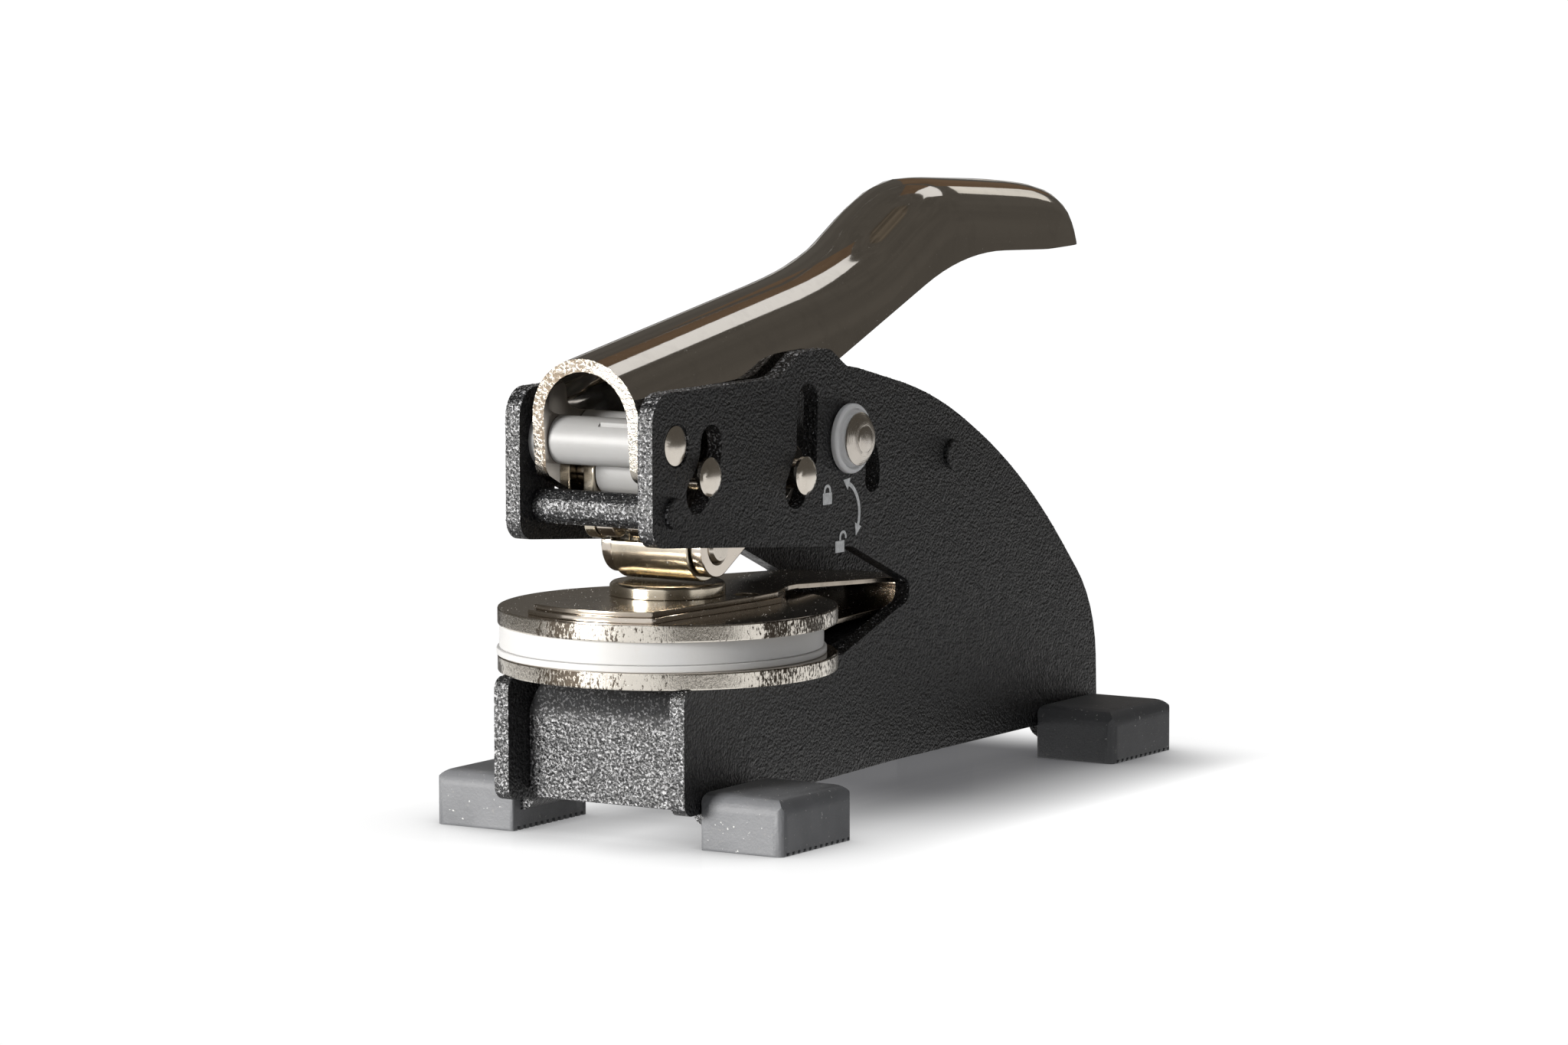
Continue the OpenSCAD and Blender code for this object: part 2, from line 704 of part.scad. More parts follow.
// The plate that hangs from the press pin and holds the shoe's pin. Its edge keeps clear of the shoe's walls.
module link_plate(side) {
    link_shoe_eye_r = shoe_r - shoe_t - 0.3;
    x0 = link_face_x - arm_t;
    function at(p, r, a) = p + r * [cos(a), sin(a)];
    mirror([side < 0 ? 1 : 0, 0, 0]) difference() {
        union() {
            bar(PRESS, link_eye_r, SPREADER, spreader_eye_r, x0, link_face_x);
            rod(SHOE, link_shoe_eye_r, x0, link_face_x);
            across(x0, link_face_x) polygon([
                at(PRESS, link_eye_r - 0.1, 40), PRESS, SPREADER + [0, 0.05 - spreader_eye_r],
                at(SHOE, shoe_r + 0.65, 153), at(SHOE, link_shoe_eye_r - 0.15, 150),
                SHOE, at(SHOE, link_shoe_eye_r - 0.15, 60)
            ]);
        }
        rod(PRESS, link_pin_r + run_fit, 0, 20);
        rod(SHOE, shoe_pin_r + fixed_fit, 0, 20);
        rod(SPREADER, spreader_r + fixed_fit, 0, 20);
    }
}

module right_link() {
    color(NICKEL) link_plate(1);
}

module left_link() {
    color(NICKEL) link_plate(-1);
}

module spreader_pin() {
    color(NICKEL) rod(SPREADER, spreader_r, -link_face_x - 0.3, link_face_x + 0.3);
}

module spreader_collars() {
    color(NICKEL) for (side = [0, 1]) mirror([side, 0, 0])
        tube(SPREADER, spreader_eye_r - 0.4, spreader_r + fixed_fit, 1.6, link_face_x - arm_t - side_gap);
}

module guide_pin() {
    color(NICKEL) headed_pin(GUIDE, link_pin_r, pin_head_r);
}

module guide_sleeve() {
    half = arm_face_x - arm_t - side_gap;
    color(NYLON) tube(GUIDE, guide_sleeve_r, link_pin_r + fixed_fit, -half, half);
}

module shoe_pin() {
    color(NICKEL) turned(SHOE, let (half = arm_face_x + 0.7, r = shoe_pin_r) [
        [0, -half], [r - 0.6, -half], [r, -half + 0.6], [r, half - 0.6], [r - 0.6, half], [0, half]
    ]);
}

// A sheet saddle bent round the pin, with two inner cheeks that carry it.
module press_shoe() {
    half = arm_face_x - arm_t - 0.3;
    wall_top = 0.9;
    cheek_x1 = link_face_x - arm_t - side_gap;
    cheek_x0 = cheek_x1 - 2;
    color(NICKEL) difference() {
        union() {
            difference() {
                union() {
                    rod(SHOE, shoe_r, -half, half);
                    translate([-half, SHOE.x - shoe_r, SHOE.y]) cube([2 * half, 2 * shoe_r, wall_top]);
                }
                rod(SHOE, shoe_r - shoe_t, -half - 1, half + 1);
                translate([-half - 1, SHOE.x - shoe_r + shoe_t, SHOE.y])
                    cube([2 * half + 2, 2 * (shoe_r - shoe_t), shoe_r + 1]);
                translate([-half - 1, SHOE.x - shoe_r - 1, SHOE.y + wall_top])
                    cube([2 * half + 2, 2 * shoe_r + 2, shoe_r]);
            }
            for (x0 = [-cheek_x1, cheek_x0]) rod(SHOE, shoe_r - shoe_t + EPS, x0, x0 + cheek_x1 - cheek_x0);
        }
        rod(SHOE, shoe_pin_r + run_fit, -half - 1, half + 1);
    }
}

// ---- lock ----
module lock_shaft() {
    color(NICKEL) rod(LOCK, lock_shaft_r, -plate_in_x - 1.3, plate_in_x + 1.3);
}

module lock_crank() {
    color(NICKEL) difference() {
        bar(LOCK, crank_eye_r, KNOB, stud_eye_r, crank_face_x - crank_t, crank_face_x);
        rod(LOCK, lock_shaft_r + fixed_fit, crank_face_x - crank_t - 1, crank_face_x + 1);
        rod(KNOB, stud_r + fixed_fit, crank_face_x - crank_t - 1, crank_face_x + 1);
    }
}

// The cam on the shaft, whose beak comes up behind the guide sleeve at the locked end and stops just
// short of it, so that the knob and the handle both turn freely.
module lock_cam() {
    beak = [guide_at(lift_angle).x + guide_sleeve_r + 2.4, GUIDE.y + 4.6];
    color(NICKEL) difference() {
        union() {
            rod(LOCK, cam_r, -cam_half_t, cam_half_t);
            across(-cam_half_t, cam_half_t)
                polygon([LOCK + [-2, 4.5], beak + [0, 2], beak + [-0.6, -1.6], LOCK + [-4.4, -2.2]]);
        }
        rod(LOCK, lock_shaft_r + fixed_fit, -cam_half_t - 1, cam_half_t + 1);
    }
}

ring_x0 = frame_half_w + 0.2;
ring_t = 1.7;
knob_x0 = ring_x0 + ring_t + 0.05;

module lock_stud() {
    color(NICKEL) rod(KNOB, stud_r, crank_face_x - crank_t, knob_x0 + 0.8);
}

// A dished ring: a raised rim, a lower floor, and a hub that the knob stands on.
module lock_ring() {
    floor_x = ring_x0 + ring_t - 0.8;
    color(NYLON) turned(KNOB, [
        [stud_r + fixed_fit, ring_x0], [ring_r, ring_x0], [ring_r, ring_x0 + 0.9],
        [ring_r - 0.35, ring_x0 + 1.3], [ring_r - 0.8, ring_x0 + 1.3], [ring_r - 1.1, floor_x],
        [knob_r - 0.4, floor_x], [knob_r - 0.6, ring_x0 + ring_t], [stud_r + fixed_fit, ring_x0 + ring_t]
    ]);
}

// A turned cap: a conical side, a narrow step and a flat button in the middle.
module lock_knob() {
    rim_x = knob_x0 + 0.6;
    step_x = knob_x0 + 1.6;
    button_x = knob_x0 + 2;
    step_r = knob_r - 1.3;
    button_r = knob_r - 2.5;
    color(NICKEL) turned(KNOB, [
        [0, knob_x0 + 0.85], [stud_r + fixed_fit, knob_x0 + 0.85], [stud_r + fixed_fit, knob_x0],
        [knob_r - 0.5, knob_x0], [knob_r, rim_x - 0.2], [knob_r, rim_x], [knob_r - 0.2, rim_x + 0.2],
        [step_r, step_x], [step_r - 0.3, step_x + 0.1], [button_r + 0.15, step_x + 0.1],
        [button_r, button_x - 0.1], [button_r - 0.15, button_x], [0, button_x]
    ]);
}

// ---- die clip ----
module disc(z, r, t) {
    translate([0, disc_y, z]) cylinder(r = r, h = t, $fn = 96);
}

module lower_disc() {
    color(NICKEL) disc(lower_disc_z, disc_r, disc_t);
}

// The die blanks sit a little off their discs' centre.
module blank_at(z) {
    translate([-blank_shift_x, disc_y - blank_shift_y, z]) children();
}

// The lower blank is a thin flange, notched at the rear for the leaf.
module lower_die() {
    color(NYLON) difference() {
        blank_at(lower_die_z) cylinder(r = lower_die_r, h = lower_die_t, $fn = 96);
        translate([-leaf_half_w - 0.2, leaf_front_y - 0.2, lower_die_z - 1])
            cube([2 * leaf_half_w + 0.4, 40, lower_die_t + 2]);
    }
}

leaf_front_y = 46;

// A strip that follows a side-view path, cut to a plan outline.
module strip(path, t, x_half) {
    across(-x_half, x_half) polygon(concat(path, [for (i = [len(path) - 1 : -1 : 0]) path[i] + [0, t]]));
}

// The clip's lower leaf, with the bend at its rear end.
module lower_leaf() {
    r_out = bend_r + leaf_t / 2;
    r_in = bend_r - leaf_t / 2;
    color(LEAF) union() {
        strip([
            [leaf_front_y, lower_die_z], [56, lower_die_z], [63, lower_die_z + 1.4], [BEND.x, BEND.y - r_out]
        ], leaf_t, leaf_half_w);
        difference() {
            rod(BEND, r_out, -leaf_half_w, leaf_half_w);
            rod(BEND, r_in, -leaf_half_w - 1, leaf_half_w + 1);
            translate([-leaf_half_w - 1, BEND.x - 2 * r_out, BEND.y - r_out - 1])
                cube([2 * leaf_half_w + 2, 2 * r_out, 2 * r_out + 2]);
        }
    }
}

module upper_disc() {
    color(NICKEL) disc(upper_disc_z, disc_r, disc_t);
}

module upper_die() {
    color(NYLON) blank_at(upper_die_z) cylinder(r = upper_die_r, h = upper_die_t, $fn = 96);
}

// Plan outline of the leaf's wide front end, and of its neck to the rear.
module paddle(inset, rear_y) {
    half = paddle_half_w - inset;
    nose_half = half - 2.6;
    intersection() {
        polygon(rounded([
            [-nose_half, -20, 0], [nose_half, -20, 0], [nose_half, 6, 0], [half, 30, 8], [half, 38, 5],
            [leaf_half_w, 47, 6], [leaf_half_w, 140, 0], [-leaf_half_w, 140, 0],
            [-leaf_half_w, 47, 6], [-half, 38, 5], [-half, 30, 8], [-nose_half, 6, 0]
        ]));
        union() {
            intersection() {
                translate([0, disc_y]) circle(disc_r - 2.4 - inset, $fn = 96);
                translate([-40, -40]) square([80, 40 + disc_y + 1]);
            }
            translate([-20, disc_y]) square([40, rear_y - disc_y]);
        }
    }
}

module rivet_holes() {
    for (side = [-1, 1]) translate([side * 12.2, 32, stiffener_z - 1]) cylinder(r = 2.3, h = 2 * leaf_t + 2);
}

module stiffener_leaf() {
    color(NICKEL) difference() {
        translate([0, 0, stiffener_z]) linear_extrude(leaf_t) paddle(0, 44);
        rivet_holes();
    }
}

module upper_leaf() {
    top_z = BEND.y + bend_r - leaf_t / 2;
    color(LEAF) difference() {
        intersection() {
            strip([[-30, upper_leaf_z], [50, upper_leaf_z], [80, upper_leaf_z - 1.9], [BEND.x - 0.3, top_z]],
                leaf_t, paddle_half_w + 1);
            translate([0, 0, upper_leaf_z - 20]) linear_extrude(40) paddle(1, BEND.x - 0.3);
        }
        rivet_holes();
    }
}

module die_boss() {
    color(NICKEL) translate([0, disc_y, boss_z]) rotate_extrude($fn = 96) polygon([
        [0, 0], [boss_r, 0], [boss_r, boss_t - 0.5], [boss_r - 0.5, boss_t], [0, boss_t]
    ]);
}

placed() left_side_plate();
placed() right_side_plate();
placed() bed_channel();
placed() throat_plate();
placed() front_spacer();
placed() rear_spacer();
placed() pivot_pin();
placed() pivot_washers();
placed() front_left_foot();
placed() front_right_foot();
placed() rear_left_foot();
placed() rear_right_foot();
placed() handle();
placed() pivot_sleeve();
placed() press_pin();
placed() press_sleeve();
placed() bumper_pin();
placed() bumper_sleeve();
placed() left_press_arm();
placed() right_press_arm();
placed() left_link();
placed() right_link();
placed() spreader_pin();
placed() spreader_collars();
placed() guide_pin();
placed() guide_sleeve();
placed() shoe_pin();
placed() press_shoe();
placed() lock_shaft();
placed() lock_crank();
placed() lock_cam();
placed() lock_stud();
placed() lock_ring();
placed() lock_knob();
placed() lower_disc();
placed() lower_die();
placed() lower_leaf();
placed() upper_disc();
placed() upper_die();
placed() stiffener_leaf();
placed() upper_leaf();
placed() die_boss();
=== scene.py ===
# %% [markdown]
# # A desk seal embosser
#
# A lever press for raised paper seals. Two painted steel plates carry a plated lever, a linkage
# of pins and white sleeves, and a shoe that presses a pull-out clip with two round dies.
# The solids come from the frame, which also says how they move. This lesson dresses them:
# it rounds their edges, gives each metal, paint, plastic and rubber its finish, and adds what
# is too fine for the solids, such as the grit of the paint, some dust and the printed marks.

# %% Load the frame
import json
import math

import bmesh
import bpy
from mathutils import Matrix, Vector


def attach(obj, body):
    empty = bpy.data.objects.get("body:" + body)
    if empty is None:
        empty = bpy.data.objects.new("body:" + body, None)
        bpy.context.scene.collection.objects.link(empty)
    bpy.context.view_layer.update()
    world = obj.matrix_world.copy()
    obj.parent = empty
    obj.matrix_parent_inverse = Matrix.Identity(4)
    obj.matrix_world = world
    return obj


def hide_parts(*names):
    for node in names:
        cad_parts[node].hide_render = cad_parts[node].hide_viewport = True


MM = 0.001
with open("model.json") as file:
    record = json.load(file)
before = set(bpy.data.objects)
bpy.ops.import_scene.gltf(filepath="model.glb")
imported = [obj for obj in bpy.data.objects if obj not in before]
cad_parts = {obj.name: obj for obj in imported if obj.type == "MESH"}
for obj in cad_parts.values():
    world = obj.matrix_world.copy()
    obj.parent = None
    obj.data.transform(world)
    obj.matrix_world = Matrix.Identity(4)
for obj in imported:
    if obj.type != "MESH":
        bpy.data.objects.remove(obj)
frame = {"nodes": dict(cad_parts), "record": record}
nodes = frame["nodes"]
bodies = frame["record"]["behaviour"]["bodies"]
body_of_node = {node: body for body, members in bodies.items() for node in members}
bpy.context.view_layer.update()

# %% [markdown]
# ## The camera
#
# A photograph fixes its camera: the place where each corner falls gives the direction, the
# distance and the lens. Here the lens is long, 142 mm on a 36 mm sensor, from a little more than
# a metre away, looking slightly down on the open jaw and the side with the knob. Typed numbers
# are the plain way to keep a fitted camera, since nothing else depends on them.

# %% Camera
SENSOR_MM, LENS_MM = 36.0, 142.475
CAMERA_PLACE = (0.59357, -0.95811, 0.17278)
COMPASS, PITCH, ROLL = 32.09, -6.26, -0.12


def in_scene(name, data):
    """An object that puts a mesh, a lamp or a camera in the scene."""
    thing = bpy.data.objects.new(name, data)
    bpy.context.scene.collection.objects.link(thing)
    return thing


camera = bpy.data.cameras.new("camera")
camera.sensor_width = SENSOR_MM
camera.lens = LENS_MM
camera.clip_start = 0.02
camera.clip_end = 50
camera_object = in_scene("camera", camera)
camera_object.matrix_world = (
    Matrix.Translation(CAMERA_PLACE)
    @ Matrix.Rotation(math.radians(COMPASS), 4, "Z")
    @ Matrix.Rotation(math.radians(90 + PITCH), 4, "X")
    @ Matrix.Rotation(math.radians(ROLL), 4, "Z")
)
bpy.context.scene.camera = camera_object
bpy.context.scene.view_settings.view_transform = "Standard"
print("camera:", round(Vector(CAMERA_PLACE).length, 2), "m away, lens", LENS_MM, "mm")

# %% [markdown]
# ## Sums on sockets
#
# A finish is a sum of patterns. It could be wired by hand, node by node, but written as Python it
# stays readable. So this small class holds one output socket and turns +, -, * and / into Math
# nodes. Every other node comes from `add`, which takes its type, its settings and what goes into
# its sockets. It works in a shader tree and in a Geometry Nodes tree alike.


# %% Wire
class Wire:
    """One output socket of a node tree, with Python's operators."""

    def __init__(self, tree, socket):
        self.tree = tree
        self.socket = socket

    def add(self, kind, settings=None, sockets=None, out=0):
        """A new node in the same tree, as its output `out`."""
        node = self.tree.nodes.new(kind)
        for key, value in (settings or {}).items():
            setattr(node, key, value)
        for key, value in (sockets or {}).items():
            if isinstance(value, Wire):
                self.tree.links.new(value.socket, node.inputs[key])
            elif isinstance(value, tuple) and node.inputs[key].type == "RGBA":
                node.inputs[key].default_value = (*value, 1)
            else:
                node.inputs[key].default_value = value
        return Wire(self.tree, node.outputs[out])

    def sibling(self, out):
        """Another output of the same node."""
        return Wire(self.tree, self.socket.node.outputs[out])

    def maths(self, operation, a, b=0.0, clamp=False):
        return self.add("ShaderNodeMath", {"operation": operation, "use_clamp": clamp}, {0: a, 1: b})

    def __add__(self, other):
        return self.maths("ADD", self, other)

    __radd__ = __add__

    def __sub__(self, other):
        return self.maths("SUBTRACT", self, other)

    def __rsub__(self, other):
        return self.maths("SUBTRACT", other, self)

    def __mul__(self, other):
        return self.maths("MULTIPLY", self, other)

    __rmul__ = __mul__

    def __truediv__(self, other):
        return self.maths("DIVIDE", self, other)

    def __pow__(self, other):
        return self.maths("POWER", self, other)

    def clamped(self):
        return self.maths("ADD", self, clamp=True)

    def between(self, low, high):
        """0 at low, 1 at high and smooth between."""
        settings = {"interpolation_type": "SMOOTHSTEP"}
        return self.add("ShaderNodeMapRange", settings, {0: self, 1: low, 2: high, 3: 0.0, 4: 1.0})

    def mix(self, a, b):
        """Colour a where this is 0, colour b where it is 1."""
        return self.add("ShaderNodeMix", {"data_type": "RGBA"}, {0: self, 6: a, 7: b}, out=2)

    def split(self):
        """The x, y and z of this place."""
        x = self.add("ShaderNodeSeparateXYZ", None, {0: self})
        return x, x.sibling(1), x.sibling(2)


# %% [markdown]
# ## Patterns
#
# Every finish below starts from a material with an empty tree and ends in a Principled shader.
# The patterns are solid ones, read from the object's own coordinates in metres: they need no
# unwrapping, they have their true size, and they move with the piece when it turns.


# %% Patterns and the shader
def new_material(name):
    """A material with an empty tree, its output, and the object's own coordinates."""
    material = bpy.data.materials.new(name)
    material.use_nodes = True
    tree = material.node_tree
    tree.nodes.clear()
    output = tree.nodes.new("ShaderNodeOutputMaterial")
    place = Wire(tree, tree.nodes.new("ShaderNodeTexCoord").outputs["Object"])
    return material, output, place


def noise(place, scale, detail=2.0, rough=0.5):
    """Smooth random values, scale of them to the metre."""
    sockets = {"Vector": place, "Scale": scale, "Detail": detail, "Roughness": rough}
    return place.add("ShaderNodeTexNoise", {"noise_dimensions": "3D"}, sockets)


def cells(place, scale):
    """Distance to the nearest of scattered points, scale of them to the metre, with soft seams."""
    return place.add("ShaderNodeTexVoronoi", {"feature": "SMOOTH_F1"}, {"Vector": place, "Scale": scale})


def stretched(place, factors):
    """The same place with its axes scaled, which draws a pattern out along the smaller ones."""
    return place.add("ShaderNodeMapping", None, {"Vector": place, "Scale": factors})


def bumps(height, depth):
    """A normal for a surface that rises by depth metres where height is 1."""
    return height.add("ShaderNodeBump", None, {"Height": height, "Distance": depth, "Strength": 1.0})


def finish(output, place, **sockets):
    """A Principled shader on the output; underscores in names stand for spaces."""
    values = {key.replace("_", " "): value for key, value in sockets.items()}
    shader = place.add("ShaderNodeBsdfPrincipled", None, values)
    shader.tree.links.new(shader.socket, output.inputs["Surface"])


def scaled(colour, factor):
    return tuple(part * factor for part in colour)


# %% [markdown]
# ## The paint
#
# The plates, the bed and the spacers have a charcoal powder paint with a fine wrinkled skin.
# Seen flat on it is nearly black. Where light grazes its grains, as on the plates' front edges,
# each grain flashes. So the colour stays dark and the grain is in the normal: small cells about
# half a millimetre wide on top of broader waves, under a thin gloss. On the faces that look to the
# front or up, bright flecks are painted into the colour as painted glints. At the bend at the top
# of the bed's front, in the disc's shadow, these flecks fade between two heights above the table,
# which is a painted shadow, and the gloss turns rough there.

# %% Paint
CHARCOAL, PALE_CHARCOAL = (0.0045, 0.0047, 0.0053), (0.0130, 0.0135, 0.0150)
# Heights above the table between which the disc's painted shadow covers the top of the bed's front.
DISC_SHADOW_HEIGHTS = (0.0195, 0.0240)


def textured_paint(name, flecks_and_painted_glints, grain_depth=0.00034, rough=0.30, gloss=0.31, painted_disc_shadow=None):
    """Powder paint. The value after the name is how bright its flecks are; bright ones are painted glints.
    """
    material, output, place = new_material(name)
    waves = noise(place, 900.0, 3.0, 0.6)
    grain = cells(place, 2000.0)
    fine = noise(place, 4000.0, 2.0, 0.6)
    height = waves * 0.9 + grain + fine * 0.5
    shade = noise(place, 900.0, 4.0, 0.65).between(0.40, 0.62)
    fleck_and_glint_mask = noise(place, 2000.0, 3.0, 0.6).between(0.55, 0.595)
    # Painted shadow of the disc: fewer bright flecks in the colour, and more roughness, between those
    # heights.
    if painted_disc_shadow:
        disc_shadow_mask = place.split()[2].between(*painted_disc_shadow)
        fleck_and_glint_mask = fleck_and_glint_mask * (1.0 - disc_shadow_mask * 0.8)
        rough = rough + disc_shadow_mask * 0.75
    # Flecks in the colour: nearly black on the plain paint, bright on the other paints, where they are
    # painted glints.
    colour = fleck_and_glint_mask.mix(shade.mix(CHARCOAL, PALE_CHARCOAL), (flecks_and_painted_glints, flecks_and_painted_glints, flecks_and_painted_glints * 1.03))
    finish(
        output, place, Base_Color=colour, Roughness=rough + shade * 0.16, Specular_IOR_Level=gloss,
        Normal=bumps(height, grain_depth),
    )
    return material


# The plain paint for faces that look aside, then copies with bright flecks as painted glints for faces that
# look to the front or up.
paint = textured_paint("textured_paint", 0.024)
edge_paint_painted_glints = textured_paint("edge_paint_painted_glints", 0.38, 0.00022, 0.24, 0.7)
grit_paint_painted_glints = textured_paint("grit_paint_painted_glints", 0.42, 0.00006, 0.14, 0.9)
# The bed's two paints also fade their flecks in the disc's painted shadow.
bed_paint_painted_glints_and_shadow = textured_paint("bed_paint_painted_glints_and_shadow", 0.35, 0.00022, 0.24, 0.7, DISC_SHADOW_HEIGHTS)
bed_grit_painted_glints_and_shadow = textured_paint("bed_grit_painted_glints_and_shadow", 0.42, 0.00006, 0.14, 0.7, DISC_SHADOW_HEIGHTS)
print("paints:", [p.name for p in (paint, edge_paint_painted_glints, grit_paint_painted_glints, bed_paint_painted_glints_and_shadow, bed_grit_painted_glints_and_shadow)])

# %% [markdown]
# ## The plating
#
# Nickel is a warm, slightly yellow mirror. The lever is the smoothest, the pins are satin, and
# the knob keeps the fine rings of the lathe. Those rings could be modelled, but they are 0.3 mm
# apart, and a sine of the distance from the knob's axis does as well. A speck of dust or a stain
# changes the tone a little everywhere, because perfect metal looks false.

# %% Plating
DUST_TONE = (0.85, 0.82, 0.78)
RING_WAVES = 22000.0


def lathe_rings(place, middle):
    """Rings round an axis along x, as heights."""
    offset = place.add("ShaderNodeVectorMath", {"operation": "SUBTRACT"}, {0: place, 1: middle})
    flat = offset.add("ShaderNodeVectorMath", {"operation": "MULTIPLY"}, {0: offset, 1: (0.0, 1.0, 1.0)})
    radius = flat.add("ShaderNodeVectorMath", {"operation": "LENGTH"}, {0: flat}, out=1)
    waves = radius * RING_WAVES
    return waves.maths("SINE", waves) * 0.5 + noise(flat, 900.0, 3.0)


def nickel(name, colour=(0.66, 0.60, 0.53), rough=0.10, haze=0.06, grime=0.25, turned_at=None):
    """Plated or bare bright steel; haze is how much duller its dull patches are."""
    material, output, place = new_material(name)
    cloud = noise(place, 60.0, 4.0)
    specks = noise(place, 1500.0, 2.0).between(0.68, 0.78)
    stain = noise(place, 220.0, 4.0, 0.6).between(0.45, 0.75)
    tone = (stain * grime).mix(colour, scaled(colour, 0.55))
    tone = (specks * 0.5).mix(tone, DUST_TONE)
    if turned_at:
        normal = bumps(lathe_rings(place, turned_at), 0.000012)
    else:
        polish = noise(stretched(place, (1.0, 0.06, 1.0)), 3000.0, 2.0)
        normal = bumps(polish * 0.08 + cloud * 0.6, 0.00002)
    roughness = (rough + cloud * haze + specks * 0.2).clamped()
    finish(output, place, Base_Color=tone, Metallic=1.0, Roughness=roughness, Normal=normal)
    return material


def middle_of(node):
    """The middle of a solid's box."""
    corners = [nodes[node].matrix_world @ Vector(c) for c in nodes[node].bound_box]
    return sum(corners, Vector()) / len(corners)


plate_nickel = nickel("nickel_plate")
pin_nickel = nickel("pin_plate", (0.70, 0.65, 0.58), 0.17, haze=0.05)
lever_nickel = nickel("lever_plate", (0.64, 0.60, 0.55), 0.045, haze=0.035, grime=0.15)
shoe_nickel = nickel("shoe_plate", (0.62, 0.56, 0.455), 0.14, haze=0.08, grime=0.5)
knob_nickel = nickel("knob_plate", (0.58, 0.54, 0.49), 0.22, turned_at=tuple(middle_of("lock_knob")))
spring_steel = nickel("spring_steel", (0.42, 0.37, 0.31), 0.17, grime=0.6)
print("ring pitch on the knob in mm:", round(2 * math.pi / RING_WAVES / MM, 2))

# %% [markdown]
# ## Torn edges
#
# Where a press cuts thick sheet, the upper part of the cut is sheared smooth and the rest tears.
# The plating then follows every tear: cream ridges with brown between them. On the discs the
# tears run through the sheet, so the pattern is drawn out that way. On the lever's front edge
# they are short, and the steel is duller.


# %% Torn steel
def torn_steel(name, stretch, scale, share, dark, cream, depth=0.00014):
    """Torn and plated steel; a larger share leaves more of it cream."""
    material, output, place = new_material(name)
    tears = noise(stretched(place, stretch), scale, 4.0, 0.68)
    patch = noise(stretched(place, (1.0, 1.0, 0.2)), 75.0, 2.0).between(0.42, 0.58)
    ridge = (tears + patch * 0.20 + (share - 0.60)).between(0.43, 0.53)
    height = tears + noise(place, 3800.0, 2.0) * 0.25
    finish(
        output, place, Base_Color=ridge.mix(dark, cream), Metallic=1.0,
        Roughness=0.46 - ridge * 0.28, Normal=bumps(height, depth),
    )
    return material


rim_steel = torn_steel(
    "torn_rim", (1.0, 1.0, 0.42), 2500.0, 0.49,
    dark=(0.055, 0.045, 0.035), cream=(0.76, 0.72, 0.65), depth=0.00004,
)
edge_steel = torn_steel(
    "torn_lever_edge", (1.0, 1.0, 1.0), 1500.0, 0.56,
    dark=(0.15, 0.12, 0.09), cream=(0.42, 0.39, 0.345),
)
print("torn steels:", rim_steel.name, edge_steel.name)

# %% [markdown]
# ## White plastic
#
# The sleeves, washers, ring and dies are white nylon: matt, faintly warm, and a little light
# goes into it. Subsurface scattering does that, kept short so that edges stay crisp. The key
# lamp is strong, so the colour is a mid grey, which renders as a white that doesn't clip.

# %% Nylon
WARM = (0.93, 0.90, 0.84)


def nylon(name, colour):
    material, output, place = new_material(name)
    cloud = noise(place, 120.0, 3.0).between(0.3, 0.7)
    marks = noise(place, 700.0, 4.0, 0.7).between(0.60, 0.75)
    handled = tuple(part * warmth for part, warmth in zip(colour, WARM))
    tone = (cloud * 0.25 + marks * 0.35).mix(colour, handled)
    finish(
        output, place, Base_Color=tone, Roughness=0.42 + marks * 0.2,
        Subsurface_Weight=0.15, Subsurface_Radius=(0.002, 0.002, 0.002), Subsurface_Scale=0.5,
        Normal=bumps(noise(place, 1800.0, 3.0), 0.00002),
    )
    return material


white_nylon = nylon("white_nylon", (0.33, 0.33, 0.33))
die_nylon = nylon("die_nylon", (0.55, 0.55, 0.55))
# The knob's ring stands in shade, so its copy of the nylon is painted much lighter: painted light.
ring_nylon_painted_light = nylon("ring_nylon_painted_light", (0.90, 0.91, 0.93))
print("nylons:", white_nylon.name, die_nylon.name, ring_nylon_painted_light.name)

# %% [markdown]
# ## Grey rubber
#
# The feet are moulded rubber with dust in its skin and a few pale specks. In the photograph the
# rear feet stand in the machine's shade, and this floor's drawn shade can't darken them. So the
# same rubber is tinted down for them, which is simpler than a lamp that skips them.

# %% Rubber
RUBBER_DARK, RUBBER_PALE = (0.126, 0.130, 0.138), (0.165, 0.169, 0.178)
RUBBER_DUST, RUBBER_SPECK = (0.30, 0.29, 0.27), (0.62, 0.62, 0.60)


def rubber(name, tint=1.0):
    material, output, place = new_material(name)
    cloud = noise(place, 90.0, 4.0).between(0.3, 0.7)
    dust = noise(place, 900.0, 5.0, 0.7).between(0.60, 0.72)
    specks = noise(place, 1300.0, 2.0).between(0.70, 0.74)
    tone = cloud.mix(scaled(RUBBER_DARK, tint), scaled(RUBBER_PALE, tint))
    tone = (dust * 0.6).mix(tone, RUBBER_DUST)
    tone = (specks * 0.8).mix(tone, RUBBER_SPECK)
    skin = noise(place, 2600.0, 3.0) * 0.6 + noise(place, 350.0, 3.0)
    finish(output, place, Base_Color=tone, Roughness=0.55 + dust * 0.25, Normal=bumps(skin, 0.00010))
    return material


grey_rubber = rubber("grey_rubber")
rear_rubber = rubber("rear_rubber", 0.55)
print("rubbers:", grey_rubber.name, rear_rubber.name)

# %% [markdown]
# ## Dressing a solid
#
# Sheet metal is never sharp: stamping, paint and plating leave a small round on every edge, and
# that round is what catches the light. A solid from the frame is loose triangles, so a copy is
# merged, its flat faces are joined up, and a Bevel modifier rounds the edges. Smooth shading
# would then bend the light on the large flat faces, so a Weighted Normal modifier lets the
# larger face at each corner decide. The copy stands for the solid and moves with the same body.

